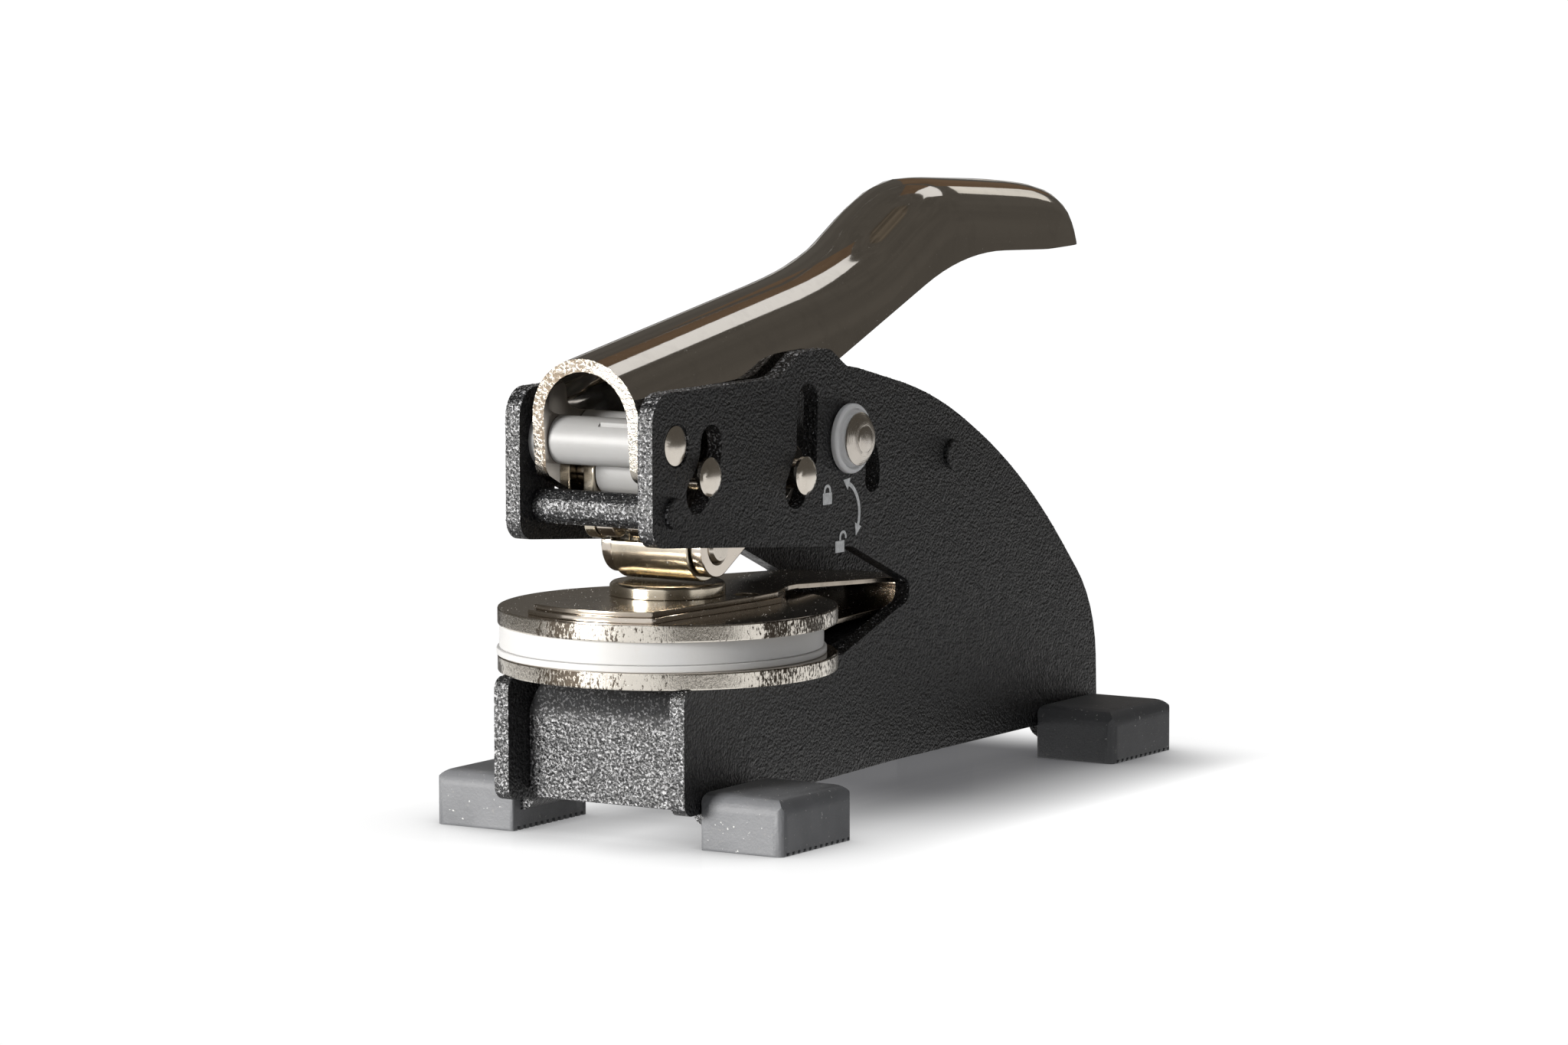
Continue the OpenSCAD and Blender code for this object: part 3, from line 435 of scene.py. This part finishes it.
# %% Rounded copies
MERGE_WITHIN = 2e-6
FLAT_WITHIN, SHARP_FROM = math.radians(0.6), math.radians(28.0)
ROUND_STEPS = 2


def bake_modifiers(piece):
    """Turns what the modifiers make into the piece's own mesh."""
    evaluated = piece.evaluated_get(bpy.context.evaluated_depsgraph_get())
    result = bpy.data.meshes.new_from_object(evaluated)
    piece.modifiers.clear()
    piece.data = result


def whole_faces(node, material):
    """The mesh of a solid with its triangles merged into whole faces."""
    mesh = bpy.data.meshes.new(node + "_skin")
    work = bmesh.new()
    work.from_mesh(nodes[node].data)
    bmesh.ops.remove_doubles(work, verts=work.verts, dist=MERGE_WITHIN)
    bmesh.ops.dissolve_limit(work, angle_limit=FLAT_WITHIN, verts=work.verts, edges=work.edges)
    work.to_mesh(mesh)
    work.free()
    mesh.materials.clear()
    mesh.materials.append(material)
    for face in mesh.polygons:
        face.use_smooth = True
        face.material_index = 0
    return mesh


def rounded_copy(node, material, round_mm, edge=None):
    """A copy of a solid with rounded edges, which stands for it. Where `edge` is given, it is a
    material and a test of a face, and the faces that pass get that material."""
    piece = in_scene(node + "_skin", whole_faces(node, material))
    if round_mm:
        bevel = piece.modifiers.new("rounding", "BEVEL")
        bevel.width = round_mm * MM
        bevel.segments = ROUND_STEPS
        bevel.limit_method = "ANGLE"
        bevel.angle_limit = SHARP_FROM
        bevel.use_clamp_overlap = True
        bake_modifiers(piece)
    piece.data.set_sharp_from_angle(angle=SHARP_FROM)
    if round_mm or node.endswith("_foot"):
        weighted = piece.modifiers.new("flat_faces", "WEIGHTED_NORMAL")
        weighted.mode = "FACE_AREA"
        weighted.keep_sharp = True
        bake_modifiers(piece)
    if edge:
        edge_material, is_edge = edge
        piece.data.materials.append(edge_material)
        for face in piece.data.polygons:
            face.material_index = 1 if is_edge(face.normal, face.center) else 0
    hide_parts(node)
    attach(piece, body_of_node[node])
    return piece


# %% [markdown]
# ## Faces with another finish
#
# A rim or a front edge belongs to the same piece of steel as the faces beside it, so it isn't cut
# off as a piece of its own. A second material on some of the faces does it, and a test of where
# a face looks and lies picks them: the discs' upright rims, the lever's front edge, and the
# painted faces that look to the front or run along the top of the plates, whose paint has painted
# glints.

# %% Tests of a face
handle_points = [nodes["handle"].matrix_world @ corner.co for corner in nodes["handle"].data.vertices]
lever_front = min(point.y for point in handle_points)
LEVER_EDGE_DEPTH, FRONT_PAINT_DEPTH = 5 * MM, 25 * MM
PLATE_INNER, PLATE_TOP = 12 * MM, 70 * MM


def is_rim(normal, centre):
    return abs(normal.z) < 0.6


def is_lever_front(normal, centre):
    return normal.y < -0.6 and centre.y < lever_front + LEVER_EDGE_DEPTH


# Faces that get the paint with painted glints: front faces near the front, and the plates' tops.
def is_painted_glint_face(normal, centre):
    if normal.y < -0.85:
        return centre.y < lever_front + FRONT_PAINT_DEPTH
    return normal.z > 0.75 and abs(centre.x) > PLATE_INNER and centre.z > PLATE_TOP


print("the lever starts at y =", round(lever_front / MM, 1), "mm")

# %% [markdown]
# ## Finishes by node
#
# Each solid gets a material and the round of its edges in millimetres, read off the photograph:
# about half a millimetre on the stamped and painted plates, less on small turned parts. The
# solids that come already rounded, such as the handle, the feet and the pins' domes, get none.

# %% Finishes
finishes = {
    "left_side_plate": (paint, 0.45), "right_side_plate": (paint, 0.45), "bed_channel": (paint, 0.4),
    "throat_plate": (paint, 0.3), "front_spacer": (paint, 0.1), "rear_spacer": (paint, 0.1),
    "pivot_pin": (pin_nickel, 0), "pivot_washers": (white_nylon, 0.1),
    "front_left_foot": (grey_rubber, 0), "front_right_foot": (grey_rubber, 0),
    "rear_left_foot": (rear_rubber, 0), "rear_right_foot": (rear_rubber, 0),
    "handle": (lever_nickel, 0), "pivot_sleeve": (white_nylon, 0.2), "press_pin": (pin_nickel, 0),
    "press_sleeve": (white_nylon, 0.2), "bumper_pin": (pin_nickel, 0.2), "bumper_sleeve": (white_nylon, 0.2),
    "left_press_arm": (plate_nickel, 0.25), "right_press_arm": (plate_nickel, 0.25),
    "left_link": (shoe_nickel, 0.25), "right_link": (shoe_nickel, 0.25),
    "spreader_pin": (plate_nickel, 0.2), "spreader_collars": (plate_nickel, 0.15),
    "guide_pin": (pin_nickel, 0), "guide_sleeve": (white_nylon, 0.2), "shoe_pin": (pin_nickel, 0.1),
    "press_shoe": (shoe_nickel, 0.3), "lock_shaft": (plate_nickel, 0.2), "lock_crank": (plate_nickel, 0.2),
    "lock_cam": (plate_nickel, 0.2), "lock_stud": (plate_nickel, 0), "lock_ring": (ring_nylon_painted_light, 0.1),
    "lock_knob": (knob_nickel, 0), "lower_disc": (plate_nickel, 0.3), "lower_die": (die_nylon, 0.2),
    "lower_leaf": (spring_steel, 0.15), "upper_disc": (plate_nickel, 0.3), "upper_die": (die_nylon, 0.2),
    "stiffener_leaf": (plate_nickel, 0.15), "upper_leaf": (spring_steel, 0.15),
    "die_boss": (shoe_nickel, 0.2),
}
edges = {
    "bed_channel": (bed_paint_painted_glints_and_shadow, is_painted_glint_face), "front_spacer": (edge_paint_painted_glints, is_painted_glint_face),
    "left_side_plate": (edge_paint_painted_glints, is_painted_glint_face), "right_side_plate": (edge_paint_painted_glints, is_painted_glint_face),
    "upper_disc": (rim_steel, is_rim), "lower_disc": (rim_steel, is_rim),
    "handle": (edge_steel, is_lever_front),
}
skins = {}
for node, (material, round_mm) in finishes.items():
    skins[node] = rounded_copy(node, material, round_mm, edges.get(node))
print("dressed:", len(skins), "with another finish on some faces:", sorted(edges))

# %% [markdown]
# ## A tree that scatters grains
#
# Grit and dust are thousands of small grains on the faces that look one way. A particle system
# could lay them, but a Geometry Nodes tree is shorter and its inputs have names: points on the
# chosen faces, a small ball of 20 faces on each, pressed flat and turned to the surface. The tree
# ends in Realize Instances and Set Material, since the grains must be real mesh.

# %% The scatter tree
SCATTER_INPUTS = {
    "Facing": "NodeSocketVector", "Limit": "NodeSocketFloat", "Density": "NodeSocketFloat",
    "Smallest": "NodeSocketFloat", "Largest": "NodeSocketFloat", "Seed": "NodeSocketInt",
    "Material": "NodeSocketMaterial",
}
PRESSED_FLAT = (1.0, 0.8, 0.55)


def scatter_tree():
    """Balls scattered on the faces that look along Facing by more than Limit."""
    tree = bpy.data.node_groups.new("scatter_grains", "GeometryNodeTree")
    tree.interface.new_socket("Geometry", in_out="INPUT", socket_type="NodeSocketGeometry")
    for label, kind in SCATTER_INPUTS.items():
        tree.interface.new_socket(label, in_out="INPUT", socket_type=kind)
    tree.interface.new_socket("Geometry", in_out="OUTPUT", socket_type="NodeSocketGeometry")

    given = {socket.name: Wire(tree, socket) for socket in tree.nodes.new("NodeGroupInput").outputs}
    surface, seed = given["Geometry"], given["Seed"]
    normal = surface.add("GeometryNodeInputNormal")
    along = normal.add("ShaderNodeVectorMath", {"operation": "DOT_PRODUCT"},
                       {0: normal, 1: given["Facing"]}, out="Value")
    chosen = along.maths("GREATER_THAN", along, given["Limit"])
    points = surface.add("GeometryNodeDistributePointsOnFaces", {"distribute_method": "RANDOM"},
                         {"Mesh": surface, "Selection": chosen, "Density": given["Density"], "Seed": seed})
    size = surface.add("FunctionNodeRandomValue", {"data_type": "FLOAT"},
                       {2: given["Smallest"], 3: given["Largest"], "Seed": seed}, out=1)
    flat = size.add("ShaderNodeVectorMath", {"operation": "MULTIPLY"}, {0: size, 1: PRESSED_FLAT})
    ball = surface.add("GeometryNodeMeshIcoSphere", None, {"Radius": 1.0, "Subdivisions": 1})
    turned = points.sibling("Rotation")
    grains = points.add("GeometryNodeInstanceOnPoints", None,
                        {"Points": points, "Instance": ball, "Rotation": turned, "Scale": flat})
    real = grains.add("GeometryNodeRealizeInstances", None, {"Geometry": grains})
    smooth = real.add("GeometryNodeSetShadeSmooth", None, {"Geometry": real})
    coated = smooth.add("GeometryNodeSetMaterial", None, {"Geometry": smooth, "Material": given["Material"]})
    tree.links.new(coated.socket, tree.nodes.new("NodeGroupOutput").inputs[0])
    return tree


scatter = scatter_tree()
print("nodes in the scatter tree:", len(scatter.nodes))

# %% [markdown]
# ## The tree on a piece
#
# A new object shares the dressed solid's mesh and carries the tree as a modifier. A modifier's
# inputs go by the socket's identifier, not its name, and they are set before anything is
# evaluated. Then the grains are baked into a mesh of their own, and the modifier is gone before
# the piece is told to ride with its body.


# %% Grains on a piece
def grains_on(node, name, facing, limit, per_mm2, sizes_mm, seed, material):
    """Grains on some faces of a dressed solid, moving with its body; returns how many faces."""
    piece = in_scene(name, skins[node].data)
    modifier = piece.modifiers.new("scatter", "NODES")
    modifier.node_group = scatter
    values = {
        "Facing": facing, "Limit": limit, "Density": per_mm2 / MM**2, "Smallest": sizes_mm[0] * MM,
        "Largest": sizes_mm[1] * MM, "Seed": seed, "Material": material,
    }
    for item in scatter.interface.items_tree:
        if item.in_out == "INPUT" and item.name in values:
            modifier[item.identifier] = values[item.name]
    bake_modifiers(piece)
    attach(piece, body_of_node[node])
    return len(piece.data.polygons)


# %% [markdown]
# ## Grit on the paint
#
# The powder paint stands up in grains where it wraps round an edge, and each grain glints on its
# own. A bump map has no outline and can't do that against the white background, so on the bed's
# front, the front spacer and the plates' front and top edges the grains are real.

# %% Grit
FRONT, UP = (0.0, -1.0, 0.0), (0.0, 0.0, 1.0)
GRIT_PER_MM2, GRIT_RADII_MM = 4.0, (0.06, 0.19)
grit = (GRIT_PER_MM2, GRIT_RADII_MM)
# The grains wear paints whose bright flecks are painted glints.
count = grains_on("bed_channel", "bed_grit", FRONT, 0.5, *grit, 3, bed_grit_painted_glints_and_shadow)
count += grains_on("front_spacer", "spacer_grit", FRONT, 0.3, *grit, 5, grit_paint_painted_glints)
for side, node in enumerate(("left_side_plate", "right_side_plate")):
    count += grains_on(node, node + "_front_grit", FRONT, 0.5, *grit, 11 + side, grit_paint_painted_glints)
    count += grains_on(node, node + "_top_grit", UP, 0.6, *grit, 21 + side, grit_paint_painted_glints)
print("faces in the grit:", count)

# %% [markdown]
# ## Dust
#
# A little pale dust has settled on what looks up at the front: the die clip and the front right
# foot. It is the same tree with smaller and far fewer grains.

# %% Dust
DUST_PER_MM2, DUST_RADII_MM = 0.10, (0.03, 0.10)
DUSTY = ("upper_disc", "stiffener_leaf", "upper_leaf", "lower_leaf", "front_right_foot")
dust_material, output, place = new_material("dust")
speck = noise(place, 400.0, 2.0).mix((0.45, 0.42, 0.38), (0.75, 0.73, 0.70))
finish(output, place, Base_Color=speck, Roughness=0.9)
count = 0
for order, node in enumerate(DUSTY):
    count += grains_on(node, node + "_dust", UP, 0.7, DUST_PER_MM2, DUST_RADII_MM, 31 + order, dust_material)
print("faces in the dust:", count)

# %% [markdown]
# ## Outlines of the printed marks
#
# Beside the knob, white ink on the right plate shows how it turns: a two-headed arc and, at its
# ends, a closed and an open padlock. They could be painted on by a material, but a print has an
# edge that a solid pattern can't follow. So each mark is a flat outline, made from a few shapes:
# a line with a width, an arc, an arrow head and a padlock. All are in millimetres, y then z.


# %% Outlines
def ribbon(points, width):
    """A line of some width through points, as four-cornered outlines."""
    left, right = [], []
    for i, point in enumerate(points):
        ahead = Vector(points[min(i + 1, len(points) - 1)]) - Vector(points[max(i - 1, 0)])
        side = Vector((-ahead.y, ahead.x)).normalized() * width / 2
        left.append(Vector(point) + side)
        right.append(Vector(point) - side)
    return [(left[i], right[i], right[i + 1], left[i + 1]) for i in range(len(points) - 1)]


def on_circle(centre, radius, degrees):
    angle = math.radians(degrees)
    return centre[0] + radius * math.cos(angle), centre[1] + radius * math.sin(angle)


def arc(centre, radius, start, end, steps=16):
    return [on_circle(centre, radius, start + (end - start) * i / steps) for i in range(steps + 1)]


def arrow_head(centre, radius, degrees, turn, length=2.1, width=2.3):
    """A triangle that continues an arc; turn is 1 or -1, the way it runs."""
    root = Vector(on_circle(centre, radius, degrees))
    angle = math.radians(degrees)
    ahead = Vector((-math.sin(angle), math.cos(angle))) * turn
    side = Vector((-ahead.y, ahead.x)) * width / 2
    return root + side, root - side, root + ahead * length


LOCK_HALF_WIDTH, LOCK_BOTTOM, LOCK_TOP = 1.5, -1.4, 0.7
SHACKLE_RADIUS, SHACKLE_WIDTH, SHACKLE_RISE, SHACKLE_FOOT = 0.95, 0.5, 1.0, 0.6


def padlock(centre, swing):
    """A body and a shackle, which stands off to one side by swing."""
    y, z = centre
    left, right = y - LOCK_HALF_WIDTH, y + LOCK_HALF_WIDTH
    body = [((left, z + LOCK_BOTTOM), (right, z + LOCK_BOTTOM), (right, z + LOCK_TOP), (left, z + LOCK_TOP))]
    middle = y + swing
    near = (middle + SHACKLE_RADIUS, z + (SHACKLE_RISE if swing else SHACKLE_FOOT))
    far = (middle - SHACKLE_RADIUS, z + SHACKLE_FOOT)
    top = arc((middle, z + SHACKLE_RISE + swing * 0.25), SHACKLE_RADIUS, 0, 180)
    return body + ribbon([near, *top, far], SHACKLE_WIDTH)


# %% [markdown]
# ## The printed marks
#
# The ink is a few hundredths of a millimetre thick. It starts just above the paint, so that the
# two surfaces don't fight for the same place, and its colour is a little worn. The plate's lower
# jaw is splayed, so the face it lies on is measured on the plate above the jaw.

# %% Marks
ARC_MIDDLE, ARC_RADIUS, ARC_WIDTH = (-16.2, 52.9), 5.9, 0.75
ARC_START, ARC_END = 66, -22
CLOSED_AT, OPEN_AT, OPEN_SWING = (-21.2, 56.6), (-17.0, 47.6), 1.1
INK_BOTTOM, INK_TOP = 0.005 * MM, 0.06 * MM
JAW_HEIGHT = 45 * MM
plate_face = max(
    (nodes["right_side_plate"].matrix_world @ corner.co).x
    for corner in nodes["right_side_plate"].data.vertices
    if corner.co.z > JAW_HEIGHT
)

marks = ribbon(arc(ARC_MIDDLE, ARC_RADIUS, ARC_START, ARC_END), ARC_WIDTH)
marks.append(arrow_head(ARC_MIDDLE, ARC_RADIUS, ARC_START, 1))
marks.append(arrow_head(ARC_MIDDLE, ARC_RADIUS, ARC_END, -1))
marks += padlock(CLOSED_AT, 0) + padlock(OPEN_AT, OPEN_SWING)


def slab(work, outline, bottom, top):
    """A thin slab on the plate with this outline."""
    low = [work.verts.new((plate_face + bottom, y * MM, z * MM)) for y, z in outline]
    high = [work.verts.new((plate_face + top, y * MM, z * MM)) for y, z in outline]
    work.faces.new(high)
    work.faces.new(list(reversed(low)))
    for i in range(len(low)):
        j = (i + 1) % len(low)
        work.faces.new((low[i], low[j], high[j], high[i]))


ink, output, place = new_material("white_ink")
worn = noise(place, 1300.0, 3.0, 0.6).between(0.30, 0.70).mix((0.72, 0.73, 0.74), (0.95, 0.96, 0.97))
finish(output, place, Base_Color=worn, Roughness=0.6)
work = bmesh.new()
for outline in marks:
    slab(work, outline, INK_BOTTOM, INK_TOP)
bmesh.ops.recalc_face_normals(work, faces=work.faces)
mesh = bpy.data.meshes.new("printed_marks")
work.to_mesh(mesh)
work.free()
mesh.materials.append(ink)
printed = in_scene("printed_marks", mesh)
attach(printed, body_of_node["right_side_plate"])
print("faces in the printed marks:", len(mesh.polygons))

# %% [markdown]
# ## The floor
#
# The floor is pale paper that has gone almost white under the studio's light. To a lamp's light
# it is a plain matt sheet. To the camera and to mirrors it glows at the strength of white, with
# its shade drawn in: a soft one to the right of the machine, which fades across and along it,
# and a dark one at each contact, from Ambient Occlusion. A true shadow could be used, but it
# would need lamps so strong that the object's own whites clip.

# %% Floor
FLOOR_HALF = 6.0
CONTACT_REACH = 0.018
SHADE_INNER, SHADE_OUTER = 0.010, 0.053
SHADE_FRONT, SHADE_REAR, SHADE_LEFT = (-0.095, 0.015), (0.060, 0.088), (-0.03, -0.01)
SHADE_FADE, SHADE_DEPTH, CONTACT_FADE = 2.4, 0.88, 0.8
SHEEN = 0.05


def background_rays(tree):
    """1 for the camera's rays, and 1 for all rays that see the background."""
    by_camera = Wire(tree, tree.nodes.new("ShaderNodeLightPath").outputs["Is Camera Ray"])
    off_metal = by_camera.sibling("Is Glossy Ray")
    through_glass = by_camera.sibling("Is Transmission Ray")
    return by_camera, (by_camera + off_metal + through_glass).clamped()


def floor_shade(place):
    """1 where the floor is bright, 0 where it is wholly in the machine's shade."""
    x, y, z = place.split()
    beside = ((x - SHADE_INNER) / (SHADE_OUTER - SHADE_INNER)).clamped() ** SHADE_FADE
    along = y.between(*SHADE_FRONT) * (1.0 - y.between(*SHADE_REAR)) * x.between(*SHADE_LEFT)
    open_sky = place.add("ShaderNodeAmbientOcclusion", {"samples": 16}, {"Distance": CONTACT_REACH}, out=1)
    return (1.0 - along * (1.0 - beside) * SHADE_DEPTH) * (open_sky ** CONTACT_FADE)


def pale_floor():
    material, output, place = new_material("pale_floor")
    by_camera, seen = background_rays(place.tree)
    shade = floor_shade(place).mix((0.035, 0.035, 0.04), (1.0, 1.0, 1.0))
    paper = noise(place, 3.0, 2.0).between(0.3, 0.7).mix((0.62, 0.62, 0.62), (0.66, 0.66, 0.66))
    bright = by_camera.mix((0.86, 0.85, 0.84), shade)
    lit = place.add("ShaderNodeBsdfDiffuse", None, {"Color": paper})
    glow = place.add("ShaderNodeEmission", None, {"Color": bright, "Strength": 1.06})
    sheen = place.add("ShaderNodeBsdfGlossy", None, {"Color": (1.0, 1.0, 1.0), "Roughness": 0.12})
    polished = place.add("ShaderNodeMixShader", None, {0: by_camera * SHEEN, 1: glow, 2: sheen})
    both = place.add("ShaderNodeMixShader", None, {0: seen, 1: lit, 2: polished})
    place.tree.links.new(both.socket, output.inputs["Surface"])
    return material


floor_mesh = bpy.data.meshes.new("floor")
floor_corners = [(x * FLOOR_HALF, y * FLOOR_HALF, 0) for x, y in ((-1, -1), (1, -1), (1, 1), (-1, 1))]
floor_mesh.from_pydata(floor_corners, [], [(0, 1, 2, 3)])
floor_mesh.materials.append(pale_floor())
floor = in_scene("floor", floor_mesh)
print("floor:", 2 * FLOOR_HALF, "m wide")

# %% [markdown]
# ## The world
#
# The photograph's background is pure white, but a white world would flood the object with light.
# So the world has two strengths: 1, which is white, for the camera and for what mirrors show,
# and a dim one for the light that falls on matt surfaces.

# %% World
WORLD_LIGHT = 0.17
world = bpy.data.worlds.new("studio")
bpy.context.scene.world = world
world.use_nodes = True
tree = world.node_tree
tree.nodes.clear()
by_camera, seen = background_rays(tree)
white = seen.add("ShaderNodeBackground", None, {"Color": (1.0, 1.0, 1.0), "Strength": 1.0})
soft = seen.add("ShaderNodeBackground", None, {"Color": (0.97, 0.98, 1.0), "Strength": WORLD_LIGHT})
choice = seen.add("ShaderNodeMixShader", None, {0: seen, 1: soft, 2: white})
tree.links.new(choice.socket, tree.nodes.new("ShaderNodeOutputWorld").inputs["Surface"])
print("the world lights matt surfaces at", WORLD_LIGHT)

# %% [markdown]
# ## The studio's walls
#
# Polished metal shows its surroundings, so the studio is built for what it reflects. Dark cards
# stand round the object, with the white world in the gaps between them. They are seen only in
# reflections, and they give the lever its deep brown sides beside one bright stripe. Their
# places come from mirror sums: where the lever shows white, a gap stands in that direction. A
# wall is given by two compass angles, from -Y towards +X, two heights and its distance.

# %% Walls
WALL_STEP = 8


def wall(start, end, low, high, radius):
    """The corners of a round wall's quads."""
    corners = []
    steps = max(1, int((end - start) / WALL_STEP))
    for i in range(steps):
        a, b = (math.radians(start + (end - start) * (i + k) / steps) for k in (0, 1))
        ax, ay = radius * math.sin(a), -radius * math.cos(a)
        bx, by = radius * math.sin(b), -radius * math.cos(b)
        corners += [(ax, ay, low), (bx, by, low), (bx, by, high), (ax, ay, high)]
    return corners


def card(name, corners, shade, mottle=0.15):
    """A sheet of felt that only reflections see; mottle is how much darker its dark patches are."""
    mesh = bpy.data.meshes.new(name)
    mesh.from_pydata(corners, [], [tuple(range(i, i + 4)) for i in range(0, len(corners), 4)])
    sheet = in_scene(name, mesh)
    skin, output, place = new_material(name + "_felt")
    felt = noise(place, 7.0, 3.0).between(0.3, 0.7).mix(scaled(shade, 1 - mottle), shade)
    glow = place.add("ShaderNodeEmission", None, {"Color": felt, "Strength": 1.0})
    place.tree.links.new(glow.socket, output.inputs["Surface"])
    mesh.materials.append(skin)
    sheet.visible_camera = sheet.visible_diffuse = sheet.visible_shadow = False
    sheet.visible_transmission = sheet.visible_volume_scatter = False
    return sheet


# %% [markdown]
# ## The cards
#
# Most cards are dark. The gap high at the rear is the window that draws the lever's white stripe.
# A pale strip low at the rear is what the discs' flat tops mirror, a cream card gives the glint
# at the lever's tip, and two brown ones its warm edges. Two short walls near the object darken
# the low reflections in the plates and the discs, and tan cards close the studio above.

# %% Cards
DARK, BROWN = (0.105, 0.096, 0.084), (0.155, 0.105, 0.068)
PALE, CREAM, TAN = (0.50, 0.49, 0.47), (0.95, 0.92, 0.86), (0.16, 0.135, 0.105)
NEAR, INSIDE, FAR = 0.26, 0.59, 0.6
NEAR_TOP, SIDE_LOW, SIDE_TOP, ROOF = 0.10, 0.12, 0.9, 1.4
STRIP_LOW, STRIP_HIGH = 0.120, 0.185
WINDOW_LOW, WINDOW_HIGH = 0.56, 0.95
ROOF_HALF = 0.7
cards = [
    card("camera_side_card", wall(26, 66, 0.0, SIDE_TOP, FAR), DARK),
    card("near_card", wall(26, 67, 0.0, NEAR_TOP, NEAR), DARK),
    card("near_left_card", wall(205, 322, 0.0, NEAR_TOP, NEAR), DARK),
    card("side_high_card", wall(66, 104, SIDE_LOW, SIDE_TOP, FAR), DARK),
    card("right_card", wall(104, 167, 0.0, ROOF, FAR), DARK),
    card("rear_low_card", wall(167, 250, 0.0, STRIP_LOW, FAR), DARK),
    card("rear_strip_card", wall(196, 250, STRIP_LOW, STRIP_HIGH, FAR), PALE),
    card("rear_corner_card", wall(167, 196, STRIP_LOW, STRIP_HIGH, FAR), DARK),
    card("rear_middle_card", wall(167, 250, STRIP_HIGH, WINDOW_LOW, FAR), DARK),
    card("tip_card", wall(177, 191, 0.30, 0.42, INSIDE), CREAM),
    card("tip_brown_card", wall(191, 212, 0.24, 0.50, INSIDE), BROWN),
    card("brown_card", wall(193, 211, WINDOW_LOW, WINDOW_HIGH, FAR), BROWN),
    card("rear_side_card", wall(211, 250, WINDOW_LOW, WINDOW_HIGH, FAR), DARK),
    card("rear_high_card", wall(167, 250, WINDOW_HIGH, ROOF, FAR), DARK),
    card("left_card", wall(250, 325, 0.0, ROOF, FAR), DARK),
    card("front_high_card", wall(-35, 104, SIDE_TOP, ROOF, FAR), TAN, 0.6),
]
roof_corners = [(x * ROOF_HALF, y * ROOF_HALF, ROOF) for x, y in ((-1, -1), (1, -1), (1, 1), (-1, 1))]
cards.append(card("roof_card", roof_corners, TAN, 0.6))
print("cards:", len(cards))

# %% [markdown]
# ## The lamps
#
# The key lamp stands low at the front left and is seen in reflections, so that the grit and the
# torn rims sparkle. Two weak lamps above and at the right fill in, and aren't reflected, or
# they would draw white patches on the lever.


# %% Lamps
def lamp(name, place, target, size, power, colour=(1.0, 1.0, 1.0)):
    """A rectangular lamp that looks at target."""
    light = bpy.data.lights.new(name, "AREA")
    light.shape = "RECTANGLE"
    light.size, light.size_y = size
    light.energy = power
    light.color = colour
    thing = in_scene(name, light)
    thing.location = place
    thing.rotation_mode = "QUATERNION"
    thing.rotation_quaternion = (Vector(target) - Vector(place)).to_track_quat("-Z", "Y")
    return thing


key = lamp("key_lamp", (-0.46, -1.10, 0.27), (0, -0.05, 0.04), (0.45, 0.45), 23.0, (1.0, 0.985, 0.96))
top = lamp("top_lamp", (-0.2, 0.25, 1.15), (0, 0, 0.05), (0.9, 0.5), 2.0)
side = lamp("side_lamp", (1.0, -0.2, 0.7), (0, 0, 0.06), (0.6, 0.6), 1.3)
top.visible_glossy = False
side.visible_glossy = False
print("lamps in watts:", [thing.data.energy for thing in (key, top, side)])
